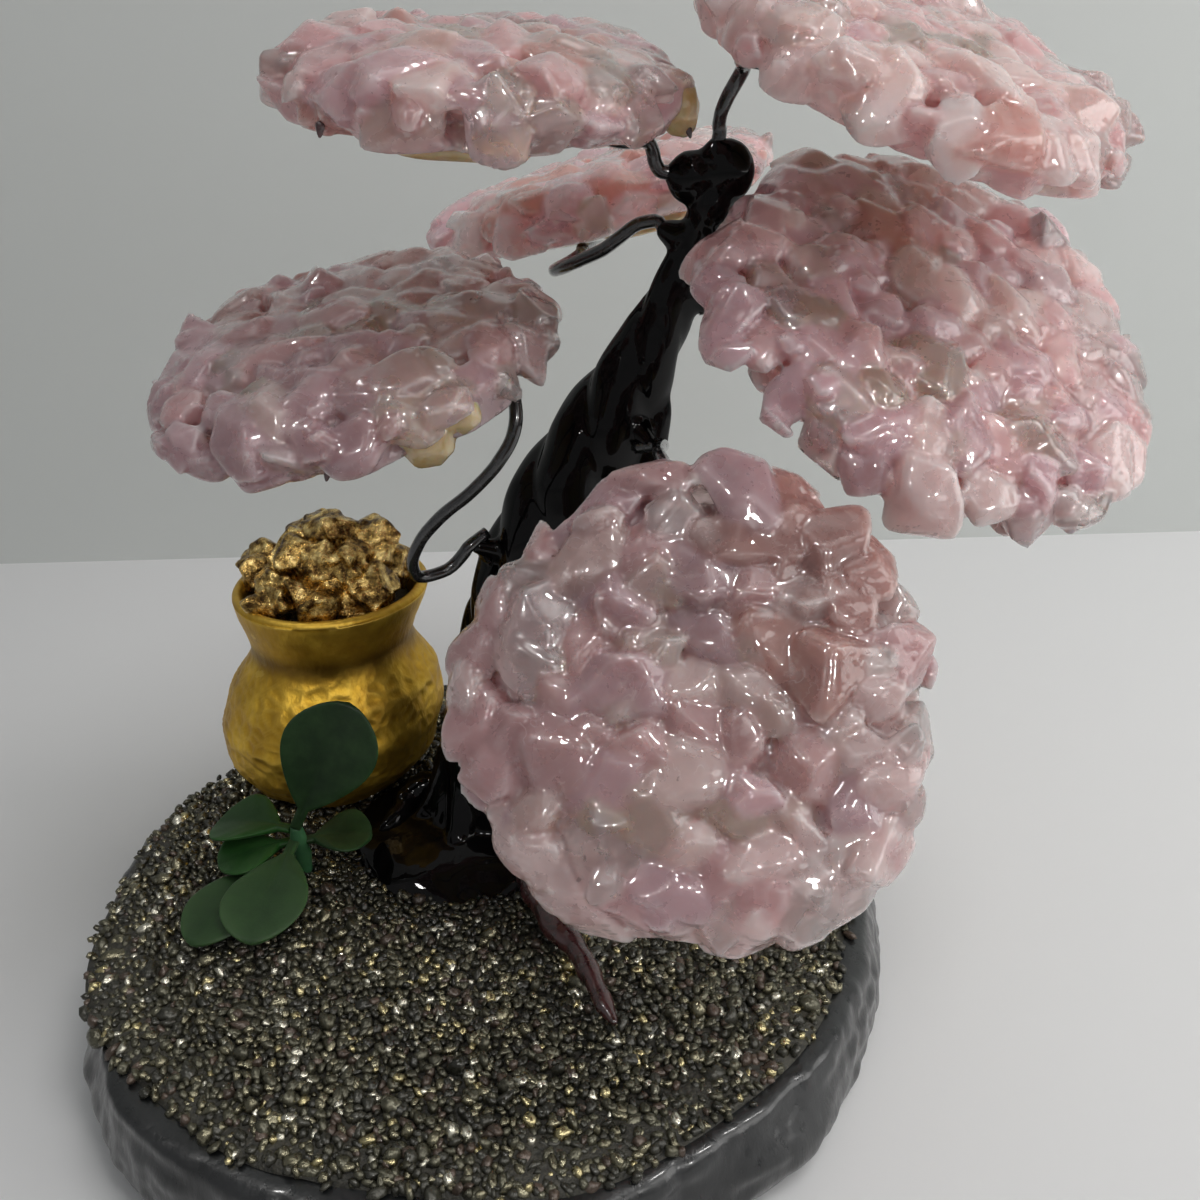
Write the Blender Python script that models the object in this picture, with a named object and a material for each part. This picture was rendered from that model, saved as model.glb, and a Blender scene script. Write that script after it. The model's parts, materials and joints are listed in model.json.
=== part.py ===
"""A gemstone wire tree: rose quartz clusters on bendable wire branches, a black clay trunk,
a gold pot of pyrite nuggets and a plastic succulent, on a black bark-edged wood slice.

Frame: metres, +Z up, the origin in the middle of the slice's underside. The clusters that face
the viewer look along -Y, and the trunk leans towards +X.
"""

import math
import random

import bmesh
import bpy
from mathutils import Matrix, Vector

MM = 0.001
GAP = 0.3 * MM                      # air left between neighbouring pieces

# Wood slice and the gravel glued on it
SLICE_RADIUS = 50 * MM
SLICE_HEIGHT = 12 * MM
SLICE_FLARE = 2 * MM                # how far the bark stands out below the top edge
GRAVEL_RADIUS = 46.5 * MM
GRAVEL_CENTRE = (-1.5 * MM, 1.5 * MM)
GRAVEL_TOP = 14 * MM
SOCKET_RADIUS = 3 * MM              # blind hole that holds the ends of the wires
SOCKET_DEPTH = 8 * MM

# Trunk: a clay skin over six twisted wires
TRUNK_FOOT = Vector((0.0, 12.5, 0.0)) * MM
TRUNK_PATH = (                      # (x, y, z, clay radius), from the foot to the crown, in mm
    (0.0, 12.5, 12.3, 12.0),
    (0.6, 12.2, 17.0, 9.4),
    (1.4, 12.0, 25.0, 7.8),
    (2.6, 12.0, 34.0, 7.0),
    (4.6, 11.9, 43.0, 6.8),
    (7.2, 11.5, 51.1, 6.8),
    (11.2, 11.0, 59.4, 6.8),
    (15.8, 10.5, 67.2, 6.2),
    (20.6, 10.0, 74.7, 5.2),
    (24.1, 9.5, 82.3, 3.8),
    (26.5, 9.0, 88.5, 2.9),
    (28.2, 8.5, 93.9, 2.05),
    (29.2, 8.0, 97.6, 2.9),
    (29.4, 8.0, 100.4, 2.6),
)
TRUNK_SIDES = 12
TRUNK_RINGS = 26
TRUNK_RIDGES = 3                    # shallow twisted ridges pressed into the clay
RIDGE_SHARE = 0.07
CORE_WIRE_RADIUS = 0.4 * MM
CORE_TURNS = -3.0                   # twists of the bundle from the foot to the crown
CORE_SPREAD = (                     # (height share, radius of the bundle's centre lines in mm)
    (0.0, 1.3), (0.72, 1.15), (0.80, 1.1), (0.86, 0.64), (1.0, 0.64),
)
BORE_WALL = 0.35 * MM               # air round the bundle inside the clay
EXIT_RUN = 0.6                      # rise of a wire on its way out, over the clay's radius
EXIT_STUB = 1.0 * MM                # how far a core wire stands out of the clay
PIVOT_GAP = 0.45 * MM               # between a core wire's end and the branch that goes on from it

# Branches and clusters
WIRE_RADIUS = 0.7 * MM              # the same wire with its black enamel
WIRE_SIDES = 6
PAD_SHARE = 0.6                     # glue pad radius over cluster radius
PAD_TOP = -1.8 * MM                 # heights in the cluster's own frame, from its mid plane
PAD_BOTTOM = -4.6 * MM
PAD_FOOT_BEVEL = 1.2 * MM
PAD_TOP_BEVEL = 0.6 * MM
CHIP_SIZE = (5.2 * MM, 4.2 * MM, 3.0 * MM)
CHIP_POINTS = 12                    # corners of one chip
CHIP_RINGS = ((0.0, 1, 2.4), (0.36, 6, 2.2), (0.66, 11, 1.0), (0.85, 15, -1.4))
                                    # (share of the cluster's radius, chips, height in mm)
MAT_CORE = ((0.72, -1.5), (0.78, 1.0), (0.5, 2.5))
                                    # glue behind the chips: (share of radius, height in mm)
BOND_VOXEL = 1.0 * MM
FACET_SHARE = 0.055                 # triangles kept when the bonded mat is simplified

# Pot
POT_OPENING = 12.0 * MM             # hole in the gravel bed that its foot stands in
POT_CENTRE = Vector((-24.4, 25.3, 0.0)) * MM
POT_TILT = math.radians(-1.5)
POT_LEAN = 0.13                     # the pot was cast crooked: sideways shift over height
POT_OUTSIDE = (                     # (height above the slice, radius), in mm
    (1.0, 9.0), (2.5, 11.8), (7.0, 15.2), (12.5, 16.0), (18.0, 14.6), (21.5, 12.3),
    (23.8, 11.3), (26.5, 11.9), (30.0, 13.2), (32.5, 13.8),
)
POT_WALL = 1.6 * MM
POT_SIDES = 18
POT_FLOOR = 2.2 * MM                # thickness of the bottom
POT_FILL_LEVEL = 28.5 * MM
NUGGET_LAYERS = ((7, 8.3, 33.3, 3.5), (4, 4.8, 38.0, 3.4), (1, 0.0, 41.6, 2.8))
                                    # (lumps, ring radius, height, half size), in mm

# Succulent sprig
STEM_FOOT = Vector((-24.5, 1.5, 0.0)) * MM
STEM_RADIUS = 1.0 * MM
STEM_HOLE = 1.5 * MM
LEAF_THICKNESS = 1.0 * MM
LEAF_CUP = 0.5 * MM


# ---------------------------------------------------------------- helpers

def clear_scene():
    for obj in list(bpy.data.objects):
        bpy.data.objects.remove(obj)


def material(name, colour, roughness, metallic=0.0):
    made = bpy.data.materials.get(name)
    if made is None:
        made = bpy.data.materials.new(name)
        made.use_nodes = True
        shader = made.node_tree.nodes["Principled BSDF"]
        shader.inputs["Base Color"].default_value = (*colour, 1.0)
        shader.inputs["Roughness"].default_value = roughness
        shader.inputs["Metallic"].default_value = metallic
    return made


def black_wood():
    return material("black_wood", (0.022, 0.022, 0.024), 0.45)


def pyrite_gravel():
    return material("pyrite_gravel", (0.20, 0.17, 0.12), 0.4, 0.6)


def black_clay():
    return material("black_clay", (0.006, 0.005, 0.006), 0.08)


def brown_clay():
    return material("brown_clay", (0.06, 0.012, 0.012), 0.2)


def bare_wire():
    return material("bare_wire", (0.30, 0.29, 0.28), 0.35, 1.0)


def black_wire():
    return material("black_wire", (0.012, 0.012, 0.013), 0.2, 0.4)


def clear_glue():
    return material("clear_glue", (0.72, 0.55, 0.32), 0.15)


def rose_quartz():
    return material("rose_quartz", (0.80, 0.52, 0.52), 0.1)


def gold_glaze():
    return material("gold_glaze", (0.62, 0.42, 0.09), 0.35, 0.8)


def pyrite_nugget():
    return material("pyrite_nugget", (0.50, 0.34, 0.12), 0.3, 0.9)


def leaf_plastic():
    return material("leaf_plastic", (0.035, 0.13, 0.055), 0.5)


def add_object(name, mesh_data, finish):
    """Turns a bmesh into a named object with outward faces and smooth round sides."""
    bmesh.ops.recalc_face_normals(mesh_data, faces=mesh_data.faces)
    mesh = bpy.data.meshes.new(name)
    mesh_data.to_mesh(mesh)
    mesh_data.free()
    mesh.shade_smooth()
    mesh.set_sharp_from_angle(angle=math.radians(40))
    obj = bpy.data.objects.new(name, mesh)
    bpy.context.scene.collection.objects.link(obj)
    if finish is not None:
        obj.data.materials.append(finish)
    return obj


def bridge_rings(rings):
    """A closed bmesh from rings of points with equal counts, with flat caps on both ends."""
    mesh_data = bmesh.new()
    loops = [[mesh_data.verts.new(point) for point in ring] for ring in rings]
    sides = len(loops[0])
    for low, high in zip(loops, loops[1:]):
        for i in range(sides):
            j = (i + 1) % sides
            mesh_data.faces.new((low[i], low[j], high[j], high[i]))
    mesh_data.faces.new(reversed(loops[0]))
    mesh_data.faces.new(loops[-1])
    return mesh_data


def turned(profile, sides, centre=(0.0, 0.0), wobble=None):
    """A body turned about a vertical axis. profile is (radius, z) from the axis and back to it."""
    rings = []
    for radius, z in profile:
        ring = []
        for i in range(sides):
            angle = 2 * math.pi * i / sides
            reach = radius + (wobble(angle) if wobble else 0.0)
            ring.append(Vector((centre[0] + reach * math.cos(angle),
                                centre[1] + reach * math.sin(angle), z)))
        rings.append(ring)
    return bridge_rings(rings)


def spline(points, t):
    """Catmull-Rom curve through points (tuples of any length), with t from 0 to 1."""
    spans = len(points) - 1
    place = min(max(t, 0.0), 1.0) * spans
    i = min(int(place), spans - 1)
    u = place - i
    p0 = points[max(i - 1, 0)]
    p1 = points[i]
    p2 = points[i + 1]
    p3 = points[min(i + 2, spans)]
    return tuple(
        0.5 * (2 * b + (c - a) * u + (2 * a - 5 * b + 4 * c - d) * u ** 2
               + (3 * b - a - 3 * c + d) * u ** 3)
        for a, b, c, d in zip(p0, p1, p2, p3)
    )


def frames_along(points, upright=False):
    """(tangent, normal, binormal) at each point, carried along without twist.

    upright makes the first section level.
    """
    frames = []
    normal = None
    for i, _ in enumerate(points):
        ahead = points[min(i + 1, len(points) - 1)]
        behind = points[max(i - 1, 0)]
        tangent = (ahead - behind).normalized()
        if upright and i == 0:
            tangent = Vector((0, 0, 1))
        if normal is None:
            side = Vector((1, 0, 0)) if abs(tangent.x) < 0.8 else Vector((0, 1, 0))
            normal = side
        normal = (normal - tangent * normal.dot(tangent)).normalized()
        frames.append((tangent, normal, tangent.cross(normal)))
    return frames


def swept(points, radii, sides, shape=None, upright=False):
    """A closed tube along points. shape(i, angle) scales the radius for a section that isn't round."""
    rings = []
    frames = frames_along(points, upright)
    for i, (point, (_, normal, binormal)) in enumerate(zip(points, frames)):
        ring = []
        for k in range(sides):
            angle = 2 * math.pi * k / sides
            reach = radii[i] * (shape(i, angle) if shape else 1.0)
            ring.append(point + (normal * math.cos(angle) + binormal * math.sin(angle)) * reach)
        rings.append(ring)
    return bridge_rings(rings)


def smooth_path(points, steps):
    """A curve through unevenly spaced points, with this many steps between two of them."""
    spans = [b - a for a, b in zip(points, points[1:])]
    turns = [spans[0].normalized()]
    for a, b in zip(spans, spans[1:]):
        turns.append((a.normalized() + b.normalized()).normalized())
    turns.append(spans[-1].normalized())
    path = [points[0]]
    for i, span in enumerate(spans):
        for step in range(1, steps + 1):
            u = step / steps
            pull = u * (1 - u) * span.length
            path.append(points[i] + span * (3 - 2 * u) * u * u
                        + (turns[i] * (1 - u) - turns[i + 1] * u) * pull)
    return path


def place(obj, matrix, origin=None):
    """Moves the mesh itself, and puts the object's origin at a joint's pivot if there is one."""
    obj.data.transform(matrix)
    if origin is not None:
        obj.data.transform(Matrix.Translation(-origin))
        obj.location = origin


def chip(rng, size, at, turn):
    """The convex hull of points scattered on an ellipsoid: one tumbled stone."""
    hull = bmesh.new()
    for i in range(CHIP_POINTS):
        height = 1 - 2 * (i + 0.5) / CHIP_POINTS
        around = i * 2.4 + rng.uniform(-0.3, 0.3)
        flat = math.sqrt(1 - height * height)
        point = Vector((flat * math.cos(around) * size[0], flat * math.sin(around) * size[1],
                        height * size[2])) * rng.uniform(0.85, 1.1)
        hull.verts.new(at + turn @ point)
    made = bmesh.ops.convex_hull(hull, input=hull.verts)
    bmesh.ops.delete(hull, geom=made["geom_interior"] + made["geom_unused"], context="VERTS")
    return hull


def add_cutter(name, mesh_data):
    cutter = add_object(name, mesh_data, None)
    cutter.hide_render = True
    cutter.display_type = "WIRE"
    return cutter


def cut(obj, cutter):
    modifier = obj.modifiers.new("cut_" + cutter.name, "BOOLEAN")
    modifier.operation = "DIFFERENCE"
    modifier.solver = "EXACT"
    modifier.object = cutter


# ---------------------------------------------------------------- base

def slice_wobble(angle):
    """The slice isn't a true circle: a real trunk was sawn across."""
    return (0.7 * math.sin(3 * angle + 0.6) + 0.35 * math.sin(7 * angle)) * MM


def build_slice():
    top = SLICE_HEIGHT
    profile = [
        (SLICE_RADIUS - 1 * MM, 0),
        (SLICE_RADIUS + SLICE_FLARE * 0.6, 1.0 * MM),
        (SLICE_RADIUS + SLICE_FLARE, 4 * MM),
        (SLICE_RADIUS + SLICE_FLARE * 0.7, 8 * MM),
        (SLICE_RADIUS, top - 1.2 * MM),
        (SLICE_RADIUS - 1.5 * MM, top),
    ]
    wood = add_object("wood_slice", turned(profile, 40, wobble=slice_wobble), black_wood())
    socket = turned([(SOCKET_RADIUS, top - SOCKET_DEPTH), (SOCKET_RADIUS, top + 5 * MM)], 16,
                    centre=TRUNK_FOOT.xy)
    cut(wood, add_cutter("socket_cutter", socket))
    stem_hole = turned([(STEM_HOLE, top - 5 * MM), (STEM_HOLE, top + 5 * MM)], 10,
                       centre=STEM_FOOT.xy)
    cut(wood, add_cutter("stem_hole_cutter", stem_hole))


def build_gravel():
    """A bed of grit set in glue, with openings for what stands on the slice."""
    low = SLICE_HEIGHT + GAP

    def ragged(angle):
        return (0.8 * math.sin(4 * angle) + 0.5 * math.sin(9 * angle + 1)) * MM

    profile = [
        (GRAVEL_RADIUS, low),
        (GRAVEL_RADIUS, low + 0.7 * MM),
        (GRAVEL_RADIUS - 2.5 * MM, GRAVEL_TOP - 0.4 * MM),
        (GRAVEL_RADIUS * 0.5, GRAVEL_TOP),
    ]
    bed = add_object("gravel_bed", turned(profile, 36, GRAVEL_CENTRE, ragged), pyrite_gravel())
    openings = (
        ("trunk_opening", TRUNK_FOOT, TRUNK_PATH[0][3] * MM * (1 + RIDGE_SHARE) + GAP, 24),
        ("pot_opening", POT_CENTRE, POT_OPENING, 16),
        ("stem_opening", STEM_FOOT, STEM_HOLE, 8),
    )
    for name, centre, radius, sides in openings:
        hole = turned([(radius, low - 5 * MM), (radius, GRAVEL_TOP + 5 * MM)], sides, centre.xy)
        cut(bed, add_cutter(name + "_cutter", hole))


# ---------------------------------------------------------------- trunk

def trunk_at(share):
    """(centre, clay radius) at a share of the way from the foot to the crown."""
    x, y, z, radius = spline(TRUNK_PATH, share)
    return Vector((x, y, z)) * MM, radius * MM


def trunk_frame(share):
    """The trunk's centre and its two cross directions there, carried without twist."""
    steps = 60
    whole = [trunk_at(i / steps)[0] for i in range(steps + 1)]
    frames = frames_along(whole, upright=True)
    place = min(max(share, 0.0), 1.0) * steps
    i = min(int(place), steps - 1)
    u = place - i
    normal = frames[i][1].lerp(frames[i + 1][1], u).normalized()
    tangent = frames[i][0].lerp(frames[i + 1][0], u).normalized()
    return trunk_at(share)[0], normal, tangent.cross(normal)


def bundle_spread(share):
    """Radius of the bundle: it narrows where most of its wires have left."""
    for (low, wide), (high, narrow) in zip(CORE_SPREAD, CORE_SPREAD[1:]):
        if share <= high:
            return (wide + (narrow - wide) * (share - low) / (high - low)) * MM
    return CORE_SPREAD[-1][1] * MM


def trunk_skin(extra):
    """The clay's outer surface with its twisted ridges, moved out by extra."""
    shares = [i / TRUNK_RINGS for i in range(TRUNK_RINGS + 1)]
    centres = [trunk_at(s)[0] for s in shares]
    radii = [trunk_at(s)[1] + extra for s in shares]

    def ridged(i, angle):
        fade = min(1.0, (1 - shares[i]) * 6)
        return 1 + RIDGE_SHARE * fade * math.sin(TRUNK_RIDGES * angle + 5 * shares[i])

    return swept(centres, radii, TRUNK_SIDES, ridged, upright=True)


def build_trunk():
    clay = add_object("trunk_clay", trunk_skin(0), black_clay())
    bore_shares = [-0.03] + [i / 16 for i in range(17)] + [1.03]
    bore = []
    bore_radii = []
    for share in bore_shares:
        inside = min(max(share, 0.0), 1.0)
        centre, _ = trunk_at(inside)
        beyond = (share - inside) * 100 * MM
        bore.append(centre + Vector((0, 0, beyond)))
        bore_radii.append(bundle_spread(inside) + CORE_WIRE_RADIUS + BORE_WALL)
    cut(clay, add_cutter("bore_cutter", swept(bore, bore_radii, 10)))
    return clay


def core_angle(share, slot):
    """Where wire number slot lies round the bundle at that height."""
    return slot * math.pi / 3 + 2 * math.pi * CORE_TURNS * share


def exit_path(share, slot):
    """Centre line of the stretch where a core wire turns out through the clay."""
    points = []
    length = (trunk_at(1)[0] - trunk_at(0)[0]).length
    run = trunk_at(share)[1] * EXIT_RUN / length
    angle = core_angle(share, slot)
    for step in range(1, 5):
        t = step / 4
        centre, normal, binormal = trunk_frame(share + t * run)
        clay = trunk_at(share + t * run)[1] * (1 + RIDGE_SHARE)
        reach = bundle_spread(share) * (1 - t) + (clay + EXIT_STUB) * t
        points.append(centre + (normal * math.cos(angle) + binormal * math.sin(angle)) * reach)
    return points


def core_path(share, slot):
    """Centre line of a core wire from its foot in the socket to where it leaves the clay."""
    points = []
    foot = trunk_at(0)[0]
    for depth in (-SOCKET_DEPTH + 1 * MM, -SOCKET_DEPTH * 0.5):
        _, normal, binormal = trunk_frame(0)
        angle = core_angle(0, slot)
        spread = bundle_spread(0)
        points.append(foot + Vector((0, 0, depth))
                      + (normal * math.cos(angle) + binormal * math.sin(angle)) * spread)
    steps = max(6, round(share * 26))
    for i in range(steps + 1):
        s = share * i / steps
        centre, normal, binormal = trunk_frame(s)
        angle = core_angle(s, slot)
        points.append(centre + (normal * math.cos(angle) + binormal * math.sin(angle))
                      * bundle_spread(s))
    return points


def build_core_wire(clay, name, share, slot):
    """One wire of the bundle: a share of 1 makes it come straight out of the crown's top."""
    path = core_path(share, slot)
    if share == 1:
        rise = Vector((0, 0, 1.4 * MM))
        path += [path[-1] + rise * 0.5, path[-1] + rise]
    else:
        out = exit_path(share, slot)
        hole = [path[-2], path[-1]] + out + [out[-1] * 2 - out[-2]]
        path = path + out
        cut(clay, add_cutter("exit_cutter_" + name,
                             swept(hole, [CORE_WIRE_RADIUS + 1.4 * GAP] * len(hole), 8)))
    add_object("core_wire_" + name, swept(path, [CORE_WIRE_RADIUS] * len(path), 5), bare_wire())
    return path[-1], (path[-1] - path[-2]).normalized()


def build_root(name, path, radii, finish):
    points = [Vector(p) * MM for p in path]
    centre_line = smooth_path(points, 3)
    last = len(centre_line) - 1
    widths = [spline([(r,) for r in radii], i / last)[0] * MM for i in range(last + 1)]
    root = add_object(name, swept(centre_line, widths, 8), finish)
    cut(root, bpy.data.objects["trunk_clearance"])


# ---------------------------------------------------------------- branches

class Cluster:
    """Place, size and tilt of one cluster of quartz chips, with its own frame."""

    def __init__(self, name, centre, radius, towards_viewer, right_down, seed):
        self.name = name
        self.radius = radius * MM
        self.seed = seed
        tilt = Matrix.Rotation(math.radians(towards_viewer), 4, "X")
        roll = Matrix.Rotation(math.radians(right_down), 4, "Y")
        self.matrix = Matrix.Translation(Vector(centre) * MM) @ roll @ tilt

    def world(self, x, y, z):
        return self.matrix @ Vector((x, y, z))


def build_pad(cluster, wire_line, pivot):
    """The disc of glue that the chips are set on, with a groove where the wire is embedded."""
    radius = cluster.radius * PAD_SHARE
    profile = [
        (radius - PAD_FOOT_BEVEL, PAD_BOTTOM),
        (radius, PAD_BOTTOM + 1.0 * MM),
        (radius, PAD_TOP - 0.4 * MM),
        (radius - PAD_TOP_BEVEL, PAD_TOP),
    ]
    pad = add_object("glue_pad_" + cluster.name, turned(profile, 16), clear_glue())
    place(pad, cluster.matrix, pivot)
    groove = add_cutter("groove_cutter_" + cluster.name,
                        swept(wire_line, [WIRE_RADIUS + 1.5 * GAP] * len(wire_line), 6))
    cut(pad, groove)
    return groove


def build_chips(cluster, groove, pivot):
    """All the chips of a cluster, bonded side by side into one mat over the glue pad."""
    rng = random.Random(cluster.seed)
    mat = bmesh.new()

    def join(piece):
        mesh = bpy.data.meshes.new("piece")
        piece.to_mesh(mesh)
        piece.free()
        mat.from_mesh(mesh)
        bpy.data.meshes.remove(mesh)

    join(turned([(cluster.radius * share, level * MM) for share, level in MAT_CORE], 24))
    for share, count, height in CHIP_RINGS:
        for i in range(count):
            angle = 2 * math.pi * (i + rng.uniform(-0.2, 0.2)) / count + share * 5
            lean = Matrix.Rotation(angle, 3, "Z") @ Matrix.Rotation(share * 0.8, 3, "Y")
            turn = lean @ Matrix.Rotation(rng.uniform(0, 6.28), 3, "Z")
            reach = cluster.radius * share
            at = Vector((reach * math.cos(angle), reach * math.sin(angle),
                         height * MM + rng.uniform(-0.6, 0.6) * MM))
            join(chip(rng, [side * rng.uniform(0.8, 1.1) for side in CHIP_SIZE], at, turn))
    chips = add_object("quartz_chips_" + cluster.name, mat, rose_quartz())
    place(chips, cluster.matrix, pivot)

    fuse = chips.modifiers.new("bond", "REMESH")
    fuse.mode = "VOXEL"
    fuse.voxel_size = BOND_VOXEL
    thin = chips.modifiers.new("facets", "DECIMATE")
    thin.decimate_type = "COLLAPSE"
    thin.ratio = FACET_SHARE
    clearance = turned([(cluster.radius * PAD_SHARE + GAP, PAD_BOTTOM - 6 * MM),
                        (cluster.radius * PAD_SHARE + GAP, PAD_TOP + GAP)], 16)
    cutter = add_cutter("pad_clearance_" + cluster.name, clearance)
    place(cutter, cluster.matrix)
    cut(chips, cutter)
    cut(chips, groove)


def build_branch(cluster, start, heading, way, tail_angle):
    """The wire outside the clay, from its pivot to the cluster's glue pad.

    way holds the points between the two, in mm; tail_angle is the direction in which the wire
    comes in under the pad, in the cluster's own frame.
    """
    pivot = start + heading * PIVOT_GAP
    inward = Vector((math.cos(tail_angle), math.sin(tail_angle), 0))
    reach = cluster.radius * PAD_SHARE
    edge = cluster.world(*(inward * -(reach + 1.5 * MM) + Vector((0, 0, PAD_BOTTOM - 0.5 * MM))))
    entry = cluster.world(*(inward * -(reach - 2.0 * MM) + Vector((0, 0, PAD_BOTTOM))))
    tip = cluster.world(*(inward * reach * 0.6 + Vector((0, 0, PAD_BOTTOM))))
    points = [pivot, pivot + heading * 1.2 * MM] + [Vector(p) * MM for p in way] + [edge, entry]
    line = smooth_path(points, 3)
    line.append(tip)
    wire = add_object("branch_wire_" + cluster.name,
                      swept(line, [WIRE_RADIUS] * len(line), WIRE_SIDES), black_wire())
    place(wire, Matrix(), pivot)
    beyond = tip + (tip - entry).normalized() * 0.5 * MM
    groove = build_pad(cluster, line[-9:-1] + [beyond], pivot)
    build_chips(cluster, groove, pivot)


# ---------------------------------------------------------------- pot

def build_pot():
    lean = Matrix.Shear("XY", 4, (POT_LEAN, 0))
    turn = Matrix.Translation(POT_CENTRE + Vector((0, 0, SLICE_HEIGHT))) @ Matrix.Rotation(
        POT_TILT, 4, "Y") @ lean
    outside = [(r * MM, z * MM) for z, r in POT_OUTSIDE]
    inside = [(r - POT_WALL, z) for r, z in reversed(outside) if z > 2 * MM]
    inside[-1] = (inside[-1][0] - 2 * MM, POT_FLOOR)
    pot = add_object("pot", turned(outside + inside, POT_SIDES), gold_glaze())
    place(pot, turn)

    def inner_radius(height):
        heights = [z * MM for z, _ in POT_OUTSIDE]
        for i in range(len(heights) - 1):
            if heights[i] <= height <= heights[i + 1]:
                u = (height - heights[i]) / (heights[i + 1] - heights[i])
                radius = POT_OUTSIDE[i][1] * (1 - u) + POT_OUTSIDE[i + 1][1] * u
                return radius * MM - POT_WALL - 0.5 * MM
        return 0.0

    levels = [8 * MM, 12.5 * MM, 18 * MM, 21.5 * MM, 23.8 * MM, POT_FILL_LEVEL]
    fill = add_object("pot_fill", turned([(inner_radius(z), z) for z in levels], POT_SIDES),
                      clear_glue())
    place(fill, turn)
    return turn


def build_nuggets(turn):
    """Pyrite lumps heaped on the fill: a ring of seven, four on top of it, one at the peak."""
    rng = random.Random(7)
    number = 0
    for count, reach, height, size in NUGGET_LAYERS:
        for i in range(count):
            number += 1
            angle = 2 * math.pi * i / count + height
            at = Vector((reach * math.cos(angle), reach * math.sin(angle), height)) * MM
            spin = Matrix.Rotation(rng.uniform(0, 6), 3, "Z")
            sides = [size * MM * rng.uniform(0.9, 1.0) for _ in range(3)]
            lump = add_object(f"nugget_{number}", chip(rng, sides, at, spin), pyrite_nugget())
            place(lump, turn)


# ---------------------------------------------------------------- sprig

def leaf(length, width, thickness, cup):
    """An obovate leaf along +Y from its stalk end at the origin, cupped upwards."""
    rings = []
    steps = 7
    for i in range(steps + 1):
        t = i / steps
        half = width / 2 * (math.sin(math.pi * min(1, 0.06 + 0.94 * t) ** 1.5) + 0.08)
        deep = thickness / 2 * (0.35 + 0.65 * math.sin(math.pi * min(max(t, 0.05), 0.95)))
        lift = cup * math.sin(math.pi * t / 2)
        ring = []
        for k in range(8):
            angle = 2 * math.pi * k / 8
            ring.append(Vector((half * math.cos(angle), length * t,
                                deep * math.sin(angle) + lift)))
        rings.append(ring)
    return bridge_rings(rings)


def build_sprig():
    top = Vector((-24.0, 0.7, 21.0)) * MM
    foot = STEM_FOOT + Vector((0, 0, SLICE_HEIGHT - 4.5 * MM))
    line = smooth_path([foot, STEM_FOOT + Vector((0, 0, SLICE_HEIGHT + 1.5 * MM)), top], 4)
    add_object("sprig_stem", swept(line, [STEM_RADIUS] * len(line), 8), leaf_plastic())
    up = (0, 0, 1)
    leaves = (              # name, stalk end and tip in mm, width, the way its face looks
        ("leaf_upper", (-23.7, 0.7, 21.7), (-15.9, 5.2, 37.0), 12.4, (0.1, -1.0, 0.25)),
        ("leaf_rear", (-22.7, 1.2, 18.3), (-14.6, 2.0, 17.8), 7.0, up),
        ("leaf_left_upper", (-25.5, 1.2, 20.3), (-35.2, 4.0, 18.8), 7.6, up),
        ("leaf_left_lower", (-25.6, 0.5, 18.5), (-33.4, -3.3, 17.4), 6.5, up),
        ("leaf_front_left", (-25.2, -0.2, 16.7), (-34.2, -14.7, 15.0), 8.0, up),
        ("leaf_front_right", (-24.4, -0.5, 18.9), (-26.2, -16.6, 16.6), 9.0, up),
    )
    for name, start, tip, width, facing in leaves:
        start = Vector(start) * MM
        along = Vector(tip) * MM - start
        blade = add_object(name, leaf(along.length, width * MM, LEAF_THICKNESS, LEAF_CUP),
                           leaf_plastic())
        y_axis = along.normalized()
        x_axis = y_axis.cross(Vector(facing)).normalized()
        turn = Matrix((x_axis, y_axis, x_axis.cross(y_axis))).transposed()
        place(blade, Matrix.Translation(start) @ turn.to_4x4())


# ---------------------------------------------------------------- the whole tree

CLUSTERS = {
    # name: (centre in mm, radius in mm, tilt towards the viewer, right side down, seed)
    "crown_left": ((5.7, 4.0, 109.1), 21.8, 6, 4, 11),
    "crown_right": ((48.6, 2.5, 109.6), 24.0, 13, 20, 12),
    "rear": ((17.6, 42.9, 92.3), 24.0, -4, -13, 13),
    "left": ((-9.9, 1.5, 82.5), 23.2, 11, -8, 14),
    "right": ((51.2, -3.2, 84.9), 26.0, 31, 20, 15),
    "front": ((24.4, -34.4, 59.6), 23.0, 56, -8, 16),
}

BRANCHES = {
    # name: (height share where the wire leaves, place in the bundle, way in mm, tail angle)
    "crown_left": (0.94, 2, ((22.6, 6.6, 102.6),), 180),
    "crown_right": (1, 0, ((30.2, 7.2, 105.5), (32.2, 6.2, 109.5)), 0),
    "rear": (0.80, 5, ((17.6, 12.5, 90.8), (12.0, 18.5, 87.5)), 76),
    "left": (0.365, 4, ((-3.0, 6.6, 53.0), (-5.8, 3.6, 56.0), (-3.6, 1.6, 61.5),
                        (4.5, -0.6, 69.5), (7.6, -0.4, 75.0)), 180),
    "right": (0.72, 1, ((32.0, 6.0, 86.5),), 0),
    "front": (0.555, 3, ((23.0, -4.0, 72.5), (24.0, -13.0, 71.8)), -90),
}


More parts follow.
